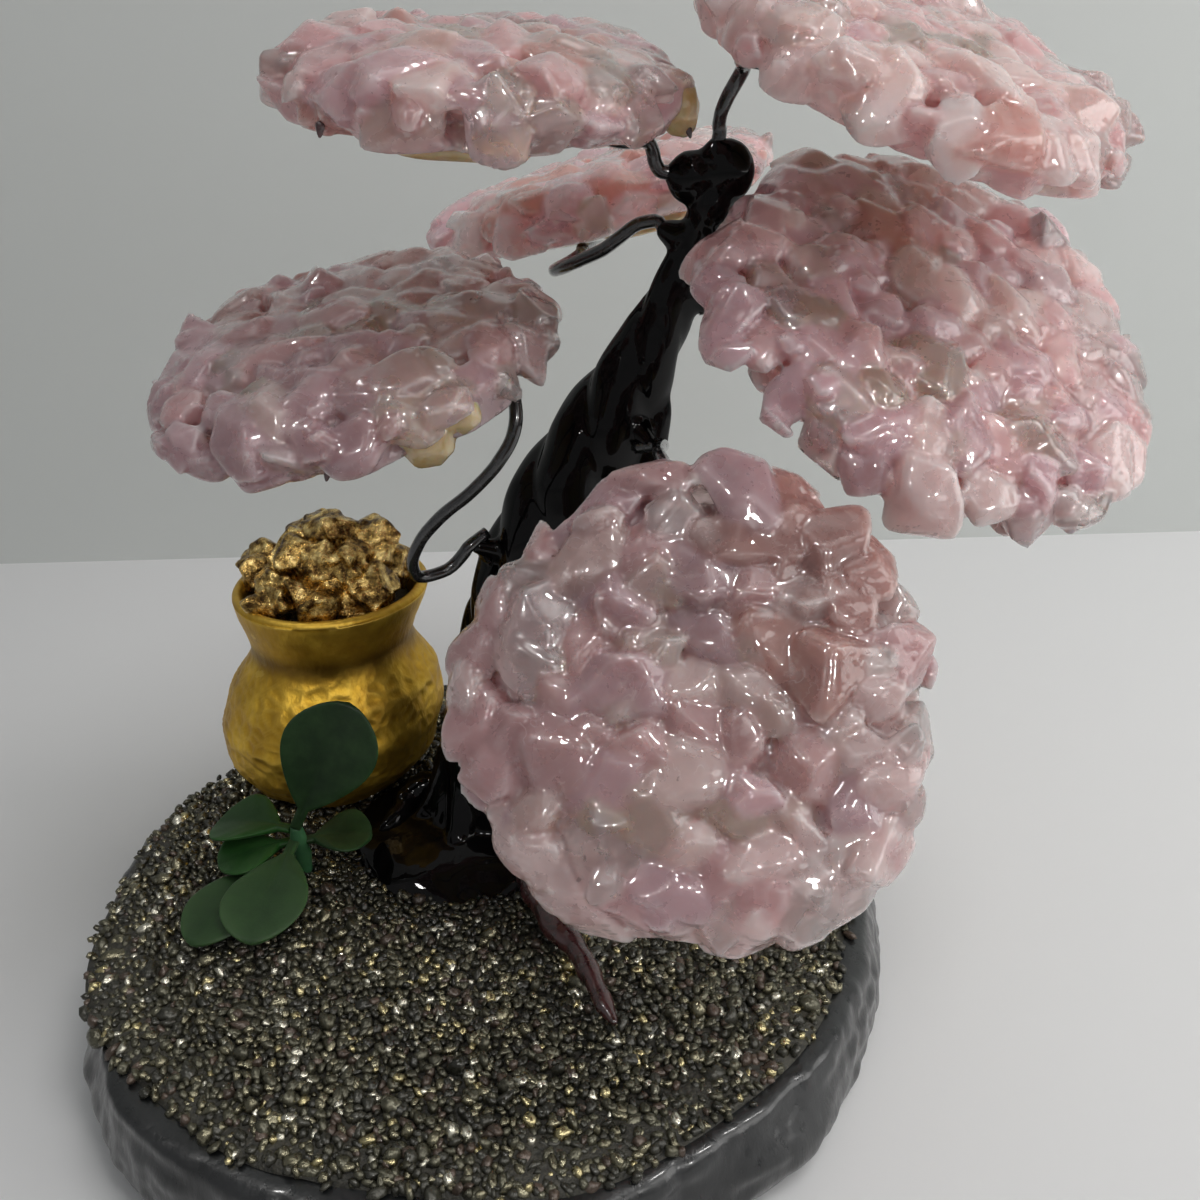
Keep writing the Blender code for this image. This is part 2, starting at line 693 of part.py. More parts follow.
def build():
    clear_scene()
    build_slice()
    build_gravel()
    clay = build_trunk()
    for name, (centre, radius, towards, down, seed) in CLUSTERS.items():
        share, slot, way, tail = BRANCHES[name]
        cluster = Cluster(name, centre, radius, towards, down, seed)
        start, heading = build_core_wire(clay, name, share, slot)
        build_branch(cluster, start, heading, way, math.radians(tail))
    add_cutter("trunk_clearance", trunk_skin(GAP))
    build_root("root_left", [(-7.0, 15.0, 18.4), (-11.0, 10.5, 16.8), (-13.4, 5.5, 15.7)],
               (2.6, 2.2, 1.3), black_clay())
    build_root("root_front", [(3.5, 4.0, 17.6), (7.5, -7.5, 16.3), (13.0, -20.0, 16.0),
                              (17.5, -31.0, 15.4)], (2.4, 1.9, 1.5, 1.0), brown_clay())
    build_root("root_right", [(8.0, 12.0, 18.0), (16.5, 14.0, 16.4), (24.0, 20.0, 15.5)],
               (2.6, 2.0, 1.1), black_clay())
    build_nuggets(build_pot())
    build_sprig()


build()
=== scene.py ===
"""The looks of the gemstone wire tree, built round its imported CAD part.

Every place and size comes from the frame: the boxes, outlines and pivots of the CAD nodes.
"""

import itertools
import json
import math

import bmesh
import bpy
import numpy as np
from mathutils import Matrix, Vector
from mathutils.kdtree import KDTree


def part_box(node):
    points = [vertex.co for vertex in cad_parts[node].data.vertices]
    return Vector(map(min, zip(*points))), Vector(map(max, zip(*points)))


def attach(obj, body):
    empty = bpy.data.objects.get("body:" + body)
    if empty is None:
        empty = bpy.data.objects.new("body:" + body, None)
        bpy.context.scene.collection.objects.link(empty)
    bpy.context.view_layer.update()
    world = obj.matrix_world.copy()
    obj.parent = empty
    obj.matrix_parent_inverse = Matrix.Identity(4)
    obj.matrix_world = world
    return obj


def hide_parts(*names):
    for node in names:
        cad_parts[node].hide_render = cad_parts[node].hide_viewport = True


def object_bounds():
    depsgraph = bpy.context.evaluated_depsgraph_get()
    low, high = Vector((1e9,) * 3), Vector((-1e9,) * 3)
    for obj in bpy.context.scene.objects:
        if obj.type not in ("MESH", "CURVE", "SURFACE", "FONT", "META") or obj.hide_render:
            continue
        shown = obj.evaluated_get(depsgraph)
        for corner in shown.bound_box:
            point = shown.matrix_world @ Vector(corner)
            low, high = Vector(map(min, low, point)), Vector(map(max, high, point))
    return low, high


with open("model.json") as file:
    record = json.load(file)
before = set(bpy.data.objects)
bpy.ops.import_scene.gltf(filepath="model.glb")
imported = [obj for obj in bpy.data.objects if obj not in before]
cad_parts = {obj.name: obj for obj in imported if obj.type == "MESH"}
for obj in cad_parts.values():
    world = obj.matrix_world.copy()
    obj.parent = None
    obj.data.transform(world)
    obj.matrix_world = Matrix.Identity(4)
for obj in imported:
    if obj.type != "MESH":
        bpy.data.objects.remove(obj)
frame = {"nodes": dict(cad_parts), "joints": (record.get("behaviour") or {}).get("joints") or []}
CAD_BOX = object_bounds()

MM = 0.001
PIVOTS = {joint["child"]: np.array(joint["pos_m"]) for joint in frame["joints"]}
BRANCHES = ("crown_left", "crown_right", "rear", "left", "right", "front")


# ---------------------------------------------------------------- reading the frame

def node_points(node):
    """The CAD node's vertices as an array."""
    vertices = frame["nodes"][node].data.vertices
    points = np.empty(len(vertices) * 3, np.float32)
    vertices.foreach_get("co", points)
    return points.reshape(-1, 3).astype(float)


def box(node):
    low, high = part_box(node)
    return np.array(low), np.array(high)


def middle(node):
    low, high = box(node)
    return (low + high) / 2


def welded(node):
    """(points, neighbour sets) of a CAD node, with points in the same place made one."""
    points = node_points(node)
    _, first, index = np.unique(np.round(points / (0.01 * MM)), axis=0, return_index=True,
                                return_inverse=True)
    index = index.reshape(-1)
    beside = [set() for _ in first]
    for edge in frame["nodes"][node].data.edges:
        a, b = (index[v] for v in edge.vertices)
        if a != b:
            beside[a].add(b)
            beside[b].add(a)
    return points[first], beside


def ring_centres(node, start):
    """Centres of a swept CAD node's rings, from the end whose centre is start."""
    points, beside = welded(node)
    reach = np.linalg.norm(points - start, axis=1)
    layer = set(np.flatnonzero(reach < reach.min() * 1.08))
    seen = set(layer)
    centres = []
    while layer:
        centres.append(points[sorted(layer)].mean(0))
        layer = set().union(*(beside[i] for i in layer)) - seen
        seen |= layer
    return np.array(centres)


def outline(node, height):
    """(centre, radius across Y) of a CAD node where a level plane cuts it."""
    points = node_points(node)
    edges = np.array([edge.vertices[:] for edge in frame["nodes"][node].data.edges])
    low, high = points[edges[:, 0]], points[edges[:, 1]]
    crossing = (low[:, 2] - height) * (high[:, 2] - height) < 0
    low, high = low[crossing], high[crossing]
    share = ((height - low[:, 2]) / (high[:, 2] - low[:, 2]))[:, None]
    cut = low + (high - low) * share
    return (cut.min(0) + cut.max(0)) / 2, np.ptp(cut[:, 1]) / 2


def spine(node, origin, bins):
    """Centres and radii of a long CAD node, in bins of growing distance from origin."""
    points = node_points(node)
    reach = np.linalg.norm((points - origin)[:, :2], axis=1)
    limits = np.linspace(reach.min(), reach.max() + MM, bins + 1)
    centres = []
    radii = []
    for near, far in zip(limits, limits[1:]):
        part = points[(reach >= near) & (reach < far)]
        centres.append((part.min(0) + part.max(0)) / 2)
        radii.append(np.ptp(part[:, 2]) / 2)
    return np.array(centres), np.array(radii)


def pad_frame(name):
    """(centre, radius, axes) of a cluster: the plane of its glue pad's flat top, facing the chips."""
    pad = frame["nodes"]["glue_pad_" + name].data
    areas = {}
    for face in pad.polygons:
        key = tuple(round(part, 2) for part in face.normal)
        areas[key] = areas.get(key, 0.0) + face.area
    towards = middle("quartz_chips_" + name) - middle("glue_pad_" + name)
    facing = {key: area for key, area in areas.items() if np.dot(key, towards) > 0}
    rough = np.array(max(facing, key=facing.get))
    rough /= np.linalg.norm(rough)
    top = [face for face in pad.polygons if np.dot(face.normal, rough) > 0.999]
    normal = np.mean([face.normal[:] for face in top], axis=0)
    normal /= np.linalg.norm(normal)
    rim = np.unique(np.round([pad.vertices[v].co[:] for face in top for v in face.vertices], 6), axis=0)
    centre = (rim.min(0) + rim.max(0)) / 2
    radius = np.linalg.norm(rim - centre, axis=1).max()
    across = np.array((1.0, 0.0, 0.0)) - normal * normal[0]
    across /= np.linalg.norm(across)
    return centre, radius, np.array((across, np.cross(normal, across), normal))


# ---------------------------------------------------------------- mesh helpers

def ball(subdivisions):
    """Directions and triangles of an even ball."""
    made = bmesh.new()
    bmesh.ops.create_icosphere(made, subdivisions=subdivisions, radius=1.0)
    points = np.array([v.co[:] for v in made.verts])
    faces = np.array([[v.index for v in f.verts] for f in made.faces])
    made.free()
    return points, faces


def lattice_noise(points, scale, seed):
    """Smooth noise between -1 and 1, one value for each point, with lumps of this scale."""
    place = points / scale
    cell = np.floor(place).astype(np.int64)
    share = place - cell
    share = share * share * (3 - 2 * share)
    total = np.zeros(len(points))
    for corner in itertools.product((0, 1), repeat=3):
        key = (cell + corner) @ np.array((73856093, 19349663, 83492791)) + seed * 2654435761
        key = (key ^ (key >> 13)) * 1274126177
        value = ((key ^ (key >> 16)) & 0xFFFF) / 32767.5 - 1
        total += value * np.prod(np.where(corner, share, 1 - share), axis=1)
    return total


def new_object(name, points, faces, smooth=True):
    mesh = bpy.data.meshes.new(name)
    mesh.from_pydata([tuple(p) for p in points], [], [tuple(f) for f in faces])
    mesh.update()
    if smooth:
        mesh.shade_smooth()
    obj = bpy.data.objects.new(name, mesh)
    bpy.context.scene.collection.objects.link(obj)
    return obj


def bake_modifiers(obj):
    """Makes the modified shape the object's own mesh."""
    graph = bpy.context.evaluated_depsgraph_get()
    mesh = bpy.data.meshes.new_from_object(obj.evaluated_get(graph), depsgraph=graph)
    obj.modifiers.clear()
    old = obj.data
    obj.data = mesh
    bpy.data.meshes.remove(old)
    mesh.shade_smooth()


def bond(obj, voxel, smoothing):
    """Joins overlapping closed shapes into one skin and softens the creases between them."""
    fuse = obj.modifiers.new("fuse", "REMESH")
    fuse.mode = "VOXEL"
    fuse.voxel_size = voxel
    soften = obj.modifiers.new("soften", "SMOOTH")
    soften.factor = 0.5
    soften.iterations = smoothing
    bake_modifiers(obj)


def mesh_points(obj):
    points = np.empty(len(obj.data.vertices) * 3, np.float32)
    obj.data.vertices.foreach_get("co", points)
    return points.reshape(-1, 3).astype(float)


def mesh_normals(obj):
    normals = np.empty(len(obj.data.vertices) * 3, np.float32)
    obj.data.vertices.foreach_get("normal", normals)
    return normals.reshape(-1, 3).astype(float)


def push_out(obj, amount):
    """Moves each vertex along its normal by its own amount."""
    moved = mesh_points(obj) + mesh_normals(obj) * amount[:, None]
    obj.data.vertices.foreach_set("co", moved.astype(np.float32).ravel())
    obj.data.update()


def fill_creases(obj, iterations, share):
    """Raises only the hollow places towards a smoothed copy of the skin, as glue that has run into them."""
    points = mesh_points(obj)
    normals = mesh_normals(obj)
    soften = obj.modifiers.new("soften", "SMOOTH")
    soften.factor = 0.5
    soften.iterations = iterations
    graph = bpy.context.evaluated_depsgraph_get()
    evaluated = obj.evaluated_get(graph)
    smooth = np.empty(len(points) * 3, np.float32)
    evaluated.data.vertices.foreach_get("co", smooth)
    obj.modifiers.remove(soften)
    rise = ((smooth.reshape(-1, 3) - points) * normals).sum(1)
    push_out(obj, np.clip(rise, 0, None) * share)


def paint(obj, name, colours):
    """Stores one colour for each vertex, for the object's shader to read."""
    layer = obj.data.attributes.new(name, "FLOAT_COLOR", "POINT")
    layer.data.foreach_set("color", colours.astype(np.float32).ravel())


def softened(obj, values, rounds):
    """Values at the vertices, averaged with their neighbours along the edges."""
    ends = np.empty(len(obj.data.edges) * 2, np.int32)
    obj.data.edges.foreach_get("vertices", ends)
    first, second = ends.reshape(-1, 2).T
    count = len(values)
    share = 1 + np.bincount(first, minlength=count) + np.bincount(second, minlength=count)
    for _ in range(rounds):
        total = values.copy()
        for column in range(values.shape[1]):
            total[:, column] += np.bincount(first, values[second, column], count)
            total[:, column] += np.bincount(second, values[first, column], count)
        values = total / share[:, None]
    return values


def smooth_line(points, count):
    """A Catmull-Rom curve through points, as this many evenly spaced points."""
    points = np.asarray(points, float)
    ends = np.vstack((2 * points[0] - points[1], points, 2 * points[-1] - points[-2]))
    fine = []
    for p0, p1, p2, p3 in zip(ends, ends[1:], ends[2:], ends[3:]):
        u = np.linspace(0, 1, 24, endpoint=False)[:, None]
        fine.append(0.5 * (2 * p1 + (p2 - p0) * u + (2 * p0 - 5 * p1 + 4 * p2 - p3) * u ** 2
                           + (3 * p1 - p0 - 3 * p2 + p3) * u ** 3))
    fine = np.vstack(fine + [points[-1:]])
    length = np.concatenate(([0], np.cumsum(np.linalg.norm(np.diff(fine[:, :3], axis=0), axis=1))))
    even = np.linspace(0, length[-1], count)
    return np.column_stack([np.interp(even, length, fine[:, k]) for k in range(fine.shape[1])])


def carried_frames(line):
    """Two cross directions at each point of a line, carried along it without twist."""
    tangents = np.gradient(line, axis=0)
    tangents /= np.linalg.norm(tangents, axis=1)[:, None]
    side = np.array((1.0, 0.0, 0.0)) if abs(tangents[0][0]) < 0.8 else np.array((0.0, 1.0, 0.0))
    sides = []
    for tangent in tangents:
        side = side - tangent * np.dot(side, tangent)
        side /= np.linalg.norm(side)
        sides.append(side)
    sides = np.array(sides)
    return sides, np.cross(tangents, sides)


def tube(line, radius, sides):
    """(points, faces) of a closed tube. radius is (rings, sides), or one value for each ring."""
    line = np.asarray(line, float)
    first, second = carried_frames(line)
    angles = np.linspace(0, 2 * math.pi, sides, endpoint=False)
    radius = np.asarray(radius, float)
    if radius.ndim == 1:
        radius = np.repeat(radius[:, None], sides, axis=1)
    spoke = (first[:, None] * np.cos(angles)[None, :, None]
             + second[:, None] * np.sin(angles)[None, :, None])
    points = (line[:, None] + spoke * radius[:, :, None]).reshape(-1, 3)
    return points, grid_faces(len(line), sides)


def grid_faces(rings, sides):
    """Quads between rings of points, and a closing face at each end."""
    faces = []
    for i in range(rings - 1):
        for k in range(sides):
            j = (k + 1) % sides
            faces.append((i * sides + k, i * sides + j, (i + 1) * sides + j, (i + 1) * sides + k))
    faces.append(tuple(range(sides - 1, -1, -1)))
    faces.append(tuple(range((rings - 1) * sides, rings * sides)))
    return faces


def merged(parts):
    """One (points, faces) from several."""
    points = []
    faces = []
    for some_points, some_faces in parts:
        start = sum(len(p) for p in points)
        points.append(np.asarray(some_points, float))
        faces += [tuple(int(v) + start for v in face) for face in some_faces]
    return np.vstack(points), faces


def turn_matrix(axis, angle):
    return np.array(Matrix.Rotation(angle, 3, Vector(axis)))


# ---------------------------------------------------------------- shader helpers

MIX_FIRST, MIX_SECOND, MIX_RESULT = 6, 7, 2     # the colour sockets of a Mix node


class Look:
    """A material under construction, with short calls for the nodes used here."""

    def __init__(self, name):
        self.material = bpy.data.materials.new(name)
        self.material.use_nodes = True
        self.tree = self.material.node_tree
        self.surface = self.tree.nodes["Principled BSDF"]
        self.place = self.node("ShaderNodeTexCoord").outputs["Object"]

    def node(self, kind, **settings):
        made = self.tree.nodes.new(kind)
        for key, value in settings.items():
            setattr(made, key, value)
        return made

    def put(self, socket, value):
        """Links or sets an input."""
        if isinstance(value, bpy.types.NodeSocket):
            self.tree.links.new(value, socket)
        elif isinstance(value, tuple) and len(value) == 3 and socket.type == "RGBA":
            socket.default_value = (*value, 1.0)
        else:
            socket.default_value = value

    def set(self, **inputs):
        """Sets the surface shader's inputs; an underscore stands for a space."""
        for key, value in inputs.items():
            self.put(self.surface.inputs[key.replace("_", " ")], value)
        return self

    def noise(self, size, detail=3.0, roughness=0.55, place=None, distortion=0.0):
        """Noise with lumps of this size in metres, between 0 and 1."""
        made = self.node("ShaderNodeTexNoise")
        self.put(made.inputs["Vector"], place or self.place)
        self.put(made.inputs["Scale"], 1.0 / size)
        self.put(made.inputs["Detail"], detail)
        self.put(made.inputs["Roughness"], roughness)
        self.put(made.inputs["Distortion"], distortion)
        return made.outputs["Fac"]

    def cells(self, size, place):
        """A random colour for each of many small cells of this size."""
        made = self.node("ShaderNodeTexVoronoi", feature="F1")
        self.put(made.inputs["Vector"], place)
        self.put(made.inputs["Scale"], 1.0 / size)
        return made.outputs["Color"]

    def stretched(self, x, y, z):
        """Coordinates scaled by x, y and z."""
        made = self.node("ShaderNodeMapping")
        self.put(made.inputs["Vector"], self.place)
        made.inputs["Scale"].default_value = (x, y, z)
        return made.outputs["Vector"]

    def ramp(self, value, *stops):
        """A colour or grey level from a value, through (position, colour) stops."""
        made = self.node("ShaderNodeValToRGB")
        self.put(made.inputs["Fac"], value)
        elements = made.color_ramp.elements
        while len(elements) < len(stops):
            elements.new(0.5)
        for element, (position, colour) in zip(elements, stops):
            element.position = position
            shade = (colour,) * 3 if isinstance(colour, (int, float)) else colour
            element.color = (*shade, 1.0)
        return made.outputs["Color"]

    def blend(self, share, first, second, mode="MIX"):
        made = self.node("ShaderNodeMix", data_type="RGBA", blend_type=mode)
        self.put(made.inputs["Factor"], share)
        self.put(made.inputs[MIX_FIRST], first)
        self.put(made.inputs[MIX_SECOND], second)
        return made.outputs[MIX_RESULT]

    def maths(self, operation, first, second):
        made = self.node("ShaderNodeMath", operation=operation)
        self.put(made.inputs[0], first)
        self.put(made.inputs[1], second)
        return made.outputs[0]

    def range(self, value, low, high, to_low, to_high):
        made = self.node("ShaderNodeMapRange")
        self.put(made.inputs["Value"], value)
        for key, number in zip(("From Min", "From Max", "To Min", "To Max"),
                               (low, high, to_low, to_high)):
            self.put(made.inputs[key], number)
        return made.outputs["Result"]

    def bump(self, height, distance, strength=1.0, over=None):
        """A normal from a height between 0 and 1, this many metres deep."""
        made = self.node("ShaderNodeBump")
        self.put(made.inputs["Height"], height)
        self.put(made.inputs["Distance"], distance)
        self.put(made.inputs["Strength"], strength)
        if over is not None:
            self.put(made.inputs["Normal"], over)
        return made.outputs["Normal"]

    def flakes(self, size, strength, share, stretch):
        """A normal that leans its own way in this share of small cells, as the facets of broken stone."""
        parts = self.node("ShaderNodeSeparateColor")
        self.put(parts.inputs[0], self.cells(size, self.stretched(*stretch)))
        red, green, blue = parts.outputs
        chosen = self.maths("GREATER_THAN", red, 1 - share)
        shift = self.node("ShaderNodeCombineXYZ")
        for socket, (part, middle_level) in zip(shift.inputs, ((green, 0.5), (blue, 0.5), (green, blue))):
            lean = self.maths("SUBTRACT", part, middle_level)
            self.put(socket, self.maths("MULTIPLY", lean, self.maths("MULTIPLY", chosen, strength)))
        total = self.node("ShaderNodeVectorMath", operation="ADD")
        self.put(total.inputs[0], self.node("ShaderNodeNewGeometry").outputs["Normal"])
        self.put(total.inputs[1], shift.outputs[0])
        unit = self.node("ShaderNodeVectorMath", operation="NORMALIZE")
        self.put(unit.inputs[0], total.outputs[0])
        return unit.outputs[0]

    def painted(self, name):
        """(colour, fourth value) that paint() stored under this name."""
        made = self.node("ShaderNodeAttribute", attribute_name=name)
        return made.outputs["Color"], made.outputs["Alpha"]

    def creases(self):
        """How convex the surface is: about 0.5 where it is flat."""
        return self.node("ShaderNodeNewGeometry").outputs["Pointiness"]


def quartz_look():
    """Milky rose quartz under a wet coat: each stone has its own colour and clearness, with painted
    highlights on convex edges and painted shade in the creases.
    """
    look = Look("rose_quartz_look")
    colour, clear = look.painted("stone")
    cloud = look.noise(3.6 * MM, 5.0, 0.58, distortion=0.3)
    veil = look.ramp(cloud, (0.30, (0.84, 0.78, 0.77)), (0.50, (1.0, 1.0, 1.0)), (0.72, (1.10, 1.12, 1.11)))
    body = look.blend(1.0, colour, veil, "MULTIPLY")
    milk = look.ramp(look.noise(2.2 * MM, 3.0, 0.6, distortion=0.5), (0.60, 0.0), (0.70, 1.0))
    body = look.blend(look.maths("MULTIPLY", milk, 0.16), body, (0.92, 0.80, 0.78))
    body = look.blend(look.maths("MULTIPLY", clear, 0.55), body, (0.93, 0.81, 0.79))
    crack = look.ramp(look.noise(2.8 * MM, 3.0, 0.5, distortion=0.8), (0.488, 0.0), (0.50, 1.0), (0.512, 0.0))
    hazy = look.ramp(look.noise(3.0 * MM, 2.0), (0.50, 0.0), (0.60, 1.0))
    body = look.blend(look.maths("MULTIPLY", look.maths("MULTIPLY", crack, hazy), 0.32), body,
                      (0.96, 0.86, 0.84))
    # painted highlight: the convex edges of the chips are painted paler, as bright rims of light
    edge = look.ramp(look.creases(), (0.505, 0.0), (0.55, 0.5), (0.64, 1.0))
    body = look.blend(look.maths("MULTIPLY", edge, 0.55), body, (0.98, 0.87, 0.85))
    # painted shade: the creases between the chips are painted darker
    crease_shade = look.ramp(look.creases(), (0.42, 1.0), (0.49, 0.0))
    body = look.blend(look.maths("MULTIPLY", crease_shade, 0.16), body, (0.36, 0.17, 0.15))
    speck = look.ramp(look.noise(1.0 * MM, 2.0, 0.5), (0.225, 1.0), (0.255, 0.0))
    body = look.blend(look.maths("MULTIPLY", speck, 0.5), body, (0.10, 0.05, 0.04))
    ripple = look.noise(2.6 * MM, 1.5, 0.4)
    look.set(Base_Color=body, Roughness=look.range(cloud, 0.3, 0.7, 0.20, 0.36), IOR=1.54,
             Specular_IOR_Level=0.1,
             Subsurface_Weight=1.0, Subsurface_Radius=(1.0, 0.80, 0.74), Subsurface_Scale=6.0 * MM,
             Transmission_Weight=look.maths("ADD", 0.32, look.maths("MULTIPLY", clear, 0.55)),
             Coat_Weight=1.0, Coat_Roughness=0.015, Coat_IOR=1.5,
             Normal=look.bump(ripple, 0.10 * MM, 0.6),
             Coat_Normal=look.bump(look.noise(1.5 * MM, 1.0, 0.4), 0.05 * MM, 0.8,
                                   over=look.flakes(0.70 * MM, 0.60, 0.30, (1.0, 1.0, 1.9))))
    return look.material


def glue_look():
    """Yellowed clear glue, thick and wet."""
    look = Look("clear_glue_look")
    cloud = look.noise(4.0 * MM, 3.0)
    tint = look.ramp(cloud, (0.3, (0.62, 0.42, 0.16)), (0.55, (0.76, 0.60, 0.34)),
                     (0.75, (0.84, 0.68, 0.46)))
    look.set(Base_Color=tint, Roughness=0.18, IOR=1.48, Subsurface_Weight=0.9,
             Subsurface_Radius=(1.0, 0.6, 0.3), Subsurface_Scale=2.5 * MM, Coat_Weight=1.0,
             Transmission_Weight=0.35, Coat_Roughness=0.03,
             Normal=look.bump(look.noise(1.6 * MM), 0.30 * MM, 0.7))
    return look.material


def clay_look():
    """Black clay under thick gloss."""
    look = Look("black_clay_look")
    dust = look.noise(2.5 * MM, 4.0, 0.6)
    tint = look.ramp(dust, (0.35, (0.0018, 0.0016, 0.0018)), (0.75, (0.0045, 0.0038, 0.0042)))
    lumps = look.noise(3.2 * MM, 1.5, 0.45)
    fine = look.noise(0.6 * MM, 2.0)
    height = look.maths("ADD", lumps, look.maths("MULTIPLY", fine, 0.05))
    look.set(Base_Color=tint, Roughness=look.range(dust, 0.3, 0.7, 0.16, 0.30),
             Specular_IOR_Level=0.0, Coat_Weight=0.36, Coat_Roughness=0.015,
             Normal=look.bump(height, 0.20 * MM, 0.5), Coat_Normal=look.bump(height, 0.20 * MM, 0.4))
    return look.material


def red_clay_look():
    look = Look("brown_clay_look")
    streak = look.noise(1.6 * MM, 3.0, 0.6)
    tint = look.ramp(streak, (0.3, (0.020, 0.003, 0.004)), (0.7, (0.075, 0.010, 0.012)))
    look.set(Base_Color=tint, Roughness=look.range(streak, 0.3, 0.7, 0.18, 0.4), Coat_Weight=0.9,
             Coat_Roughness=0.04, Normal=look.bump(look.noise(1.0 * MM), 0.25 * MM, 0.6))
    return look.material


def wire_look(name, colour, metal):
    look = Look(name)
    wear = look.noise(1.2 * MM, 3.0, 0.6)
    tint = look.ramp(wear, (0.35, colour), (0.75, tuple(min(1.0, part * 2.2) for part in colour)))
    look.set(Base_Color=tint, Metallic=metal, Roughness=look.range(wear, 0.3, 0.7, 0.16, 0.34),
             Coat_Weight=1.0, Coat_Roughness=0.10,
             Normal=look.bump(look.noise(0.8 * MM), 0.05 * MM, 0.5))
    return look.material


def wood_look():
    """Black varnished bark and sawn wood."""
    look = Look("black_wood_look")
    grain = look.noise(1.4 * MM, 5.0, 0.65, place=look.stretched(1.0, 1.0, 0.30))
    broad = look.noise(9.0 * MM, 3.0, 0.5)
    tint = look.ramp(broad, (0.35, (0.0035, 0.004, 0.0045)), (0.60, (0.008, 0.009, 0.010)),
                     (0.78, (0.017, 0.019, 0.020)))
    look.set(Base_Color=tint, Roughness=look.range(grain, 0.3, 0.7, 0.22, 0.46),
             Coat_Weight=0.4, Coat_Roughness=0.12,
             Normal=look.bump(grain, 0.22 * MM, 0.5))
    return look.material


def bed_look():
    """The dark glue and dust between the grains."""
    look = Look("gravel_bed_look")
    dust = look.noise(0.6 * MM, 4.0, 0.7)
    tint = look.ramp(dust, (0.35, (0.018, 0.017, 0.012)), (0.70, (0.070, 0.064, 0.044)))
    look.set(Base_Color=tint, Roughness=0.55, Normal=look.bump(dust, 0.4 * MM, 0.8))
    return look.material


def grit_look():
    """Crushed pyrite: each grain has its own colour, and its flat faces flash."""
    look = Look("pyrite_gravel_look")
    colour, metal = look.painted("grain")
    mottle = look.noise(0.45 * MM, 3.0, 0.6)
    tint = look.blend(0.6, colour, look.ramp(mottle, (0.3, 0.45), (0.7, 1.0)), "MULTIPLY")
    look.set(Base_Color=tint, Metallic=metal, Roughness=look.range(mottle, 0.3, 0.7, 0.16, 0.42),
             Normal=look.bump(mottle, 0.06 * MM, 0.6))
    return look.material


def gold_look():
    """Satin gold paint over hammered metal, rubbed bright on the ridges, with painted shade at the neck and
    the foot.
    """
    look = Look("gold_glaze_look")
    stain = look.noise(6.0 * MM, 4.0, 0.6)
    tint = look.ramp(stain, (0.30, (0.34, 0.18, 0.014)), (0.52, (0.56, 0.33, 0.030)),
                     (0.75, (0.84, 0.56, 0.075)))
    worn = look.ramp(look.creases(), (0.49, 0.0), (0.56, 1.0))
    tint = look.blend(look.maths("MULTIPLY", worn, 0.35), tint, (0.95, 0.70, 0.16))
    # painted shade: darker at the pot's neck and foot
    _, neck_and_foot_shade = look.painted("neck_and_foot_shade")
    tint = look.blend(look.maths("MULTIPLY", neck_and_foot_shade, 0.75), tint, (0.10, 0.050, 0.010))
    fine = look.noise(0.8 * MM, 3.0, 0.6, place=look.stretched(1.0, 1.0, 0.45))
    look.set(Base_Color=tint, Metallic=0.85, Roughness=look.range(stain, 0.3, 0.7, 0.40, 0.52),
             Normal=look.bump(fine, 0.20 * MM, 0.6))
    return look.material


def nugget_look():
    look = Look("pyrite_nugget_look")
    stain = look.noise(1.8 * MM, 4.0, 0.65)
    tint = look.ramp(stain, (0.38, (0.07, 0.035, 0.010)), (0.50, (0.42, 0.27, 0.080)),
                     (0.64, (0.95, 0.72, 0.30)))
    pits = look.noise(0.6 * MM, 3.0, 0.7)
    look.set(Base_Color=tint, Metallic=0.95, Roughness=look.range(pits, 0.3, 0.7, 0.14, 0.38),
             Normal=look.bump(pits, 0.25 * MM, 0.7))
    return look.material


def leaf_look():
    """Matt soft plastic with a pale bloom."""
    look = Look("leaf_plastic_look")
    depth, _ = look.painted("leaf")
    bloom = look.noise(3.0 * MM, 3.0, 0.6)
    tint = look.blend(look.range(bloom, 0.35, 0.75, 0.0, 0.16), depth, (0.09, 0.20, 0.06))
    grain = look.noise(0.35 * MM, 2.0)
    look.set(Base_Color=tint, Roughness=0.46, Specular_IOR_Level=0.2, Subsurface_Weight=0.25,
             Subsurface_Radius=(0.4, 1.0, 0.3), Subsurface_Scale=1.0 * MM, Sheen_Weight=0.03,
             Normal=look.bump(grain, 0.04 * MM, 0.5))
    return look.material


# ---------------------------------------------------------------- quartz clusters

STONE_BALL, STONE_FACES = ball(4)
CHIP_HALF = np.array((3.7, 2.9, 1.7)) * MM      # half sizes of a usual chip
CHIP_SPACING = 3.5 * MM
CRUMB_SHARE = 0.52                              # size of the crumbs pressed in between the chips
CRUMB_SPACING = 5.2 * MM
CLUSTER_BEND = 2.7                              # how square the edge of a cluster's outline is
PAD_SHARE = 0.6                                 # glue pad radius over cluster radius
PAD_EDGE = 0.6 * MM                             # bevel round the pad's top
PAD_DEPTH = 1.8 * MM                            # from the cluster's mid plane down to the pad
RIM_INSET = 3.0 * MM                            # the chips' centres keep this far inside the outline
CHIP_RISE = 3.6 * MM                            # half height of the lens that the chips lie on
CRUMB_RISE = 4.3 * MM
LOW_SHARE = 0.50                                # no chips under this share of the radius
RIM_LIMIT = 0.3 * MM                            # chips that reach past this far inside are shortened
LOW_LIMIT = 3.0 * MM                            # and so are chips that hang lower than this
CHIP_VOXEL = 0.30 * MM

LAVENDER = (0.65, 0.43, 0.485)
ROSE = (0.73, 0.44, 0.45)
SALMON = (0.50, 0.22, 0.17)
MILK = (0.85, 0.67, 0.65)
GREY = (0.67, 0.50, 0.46)
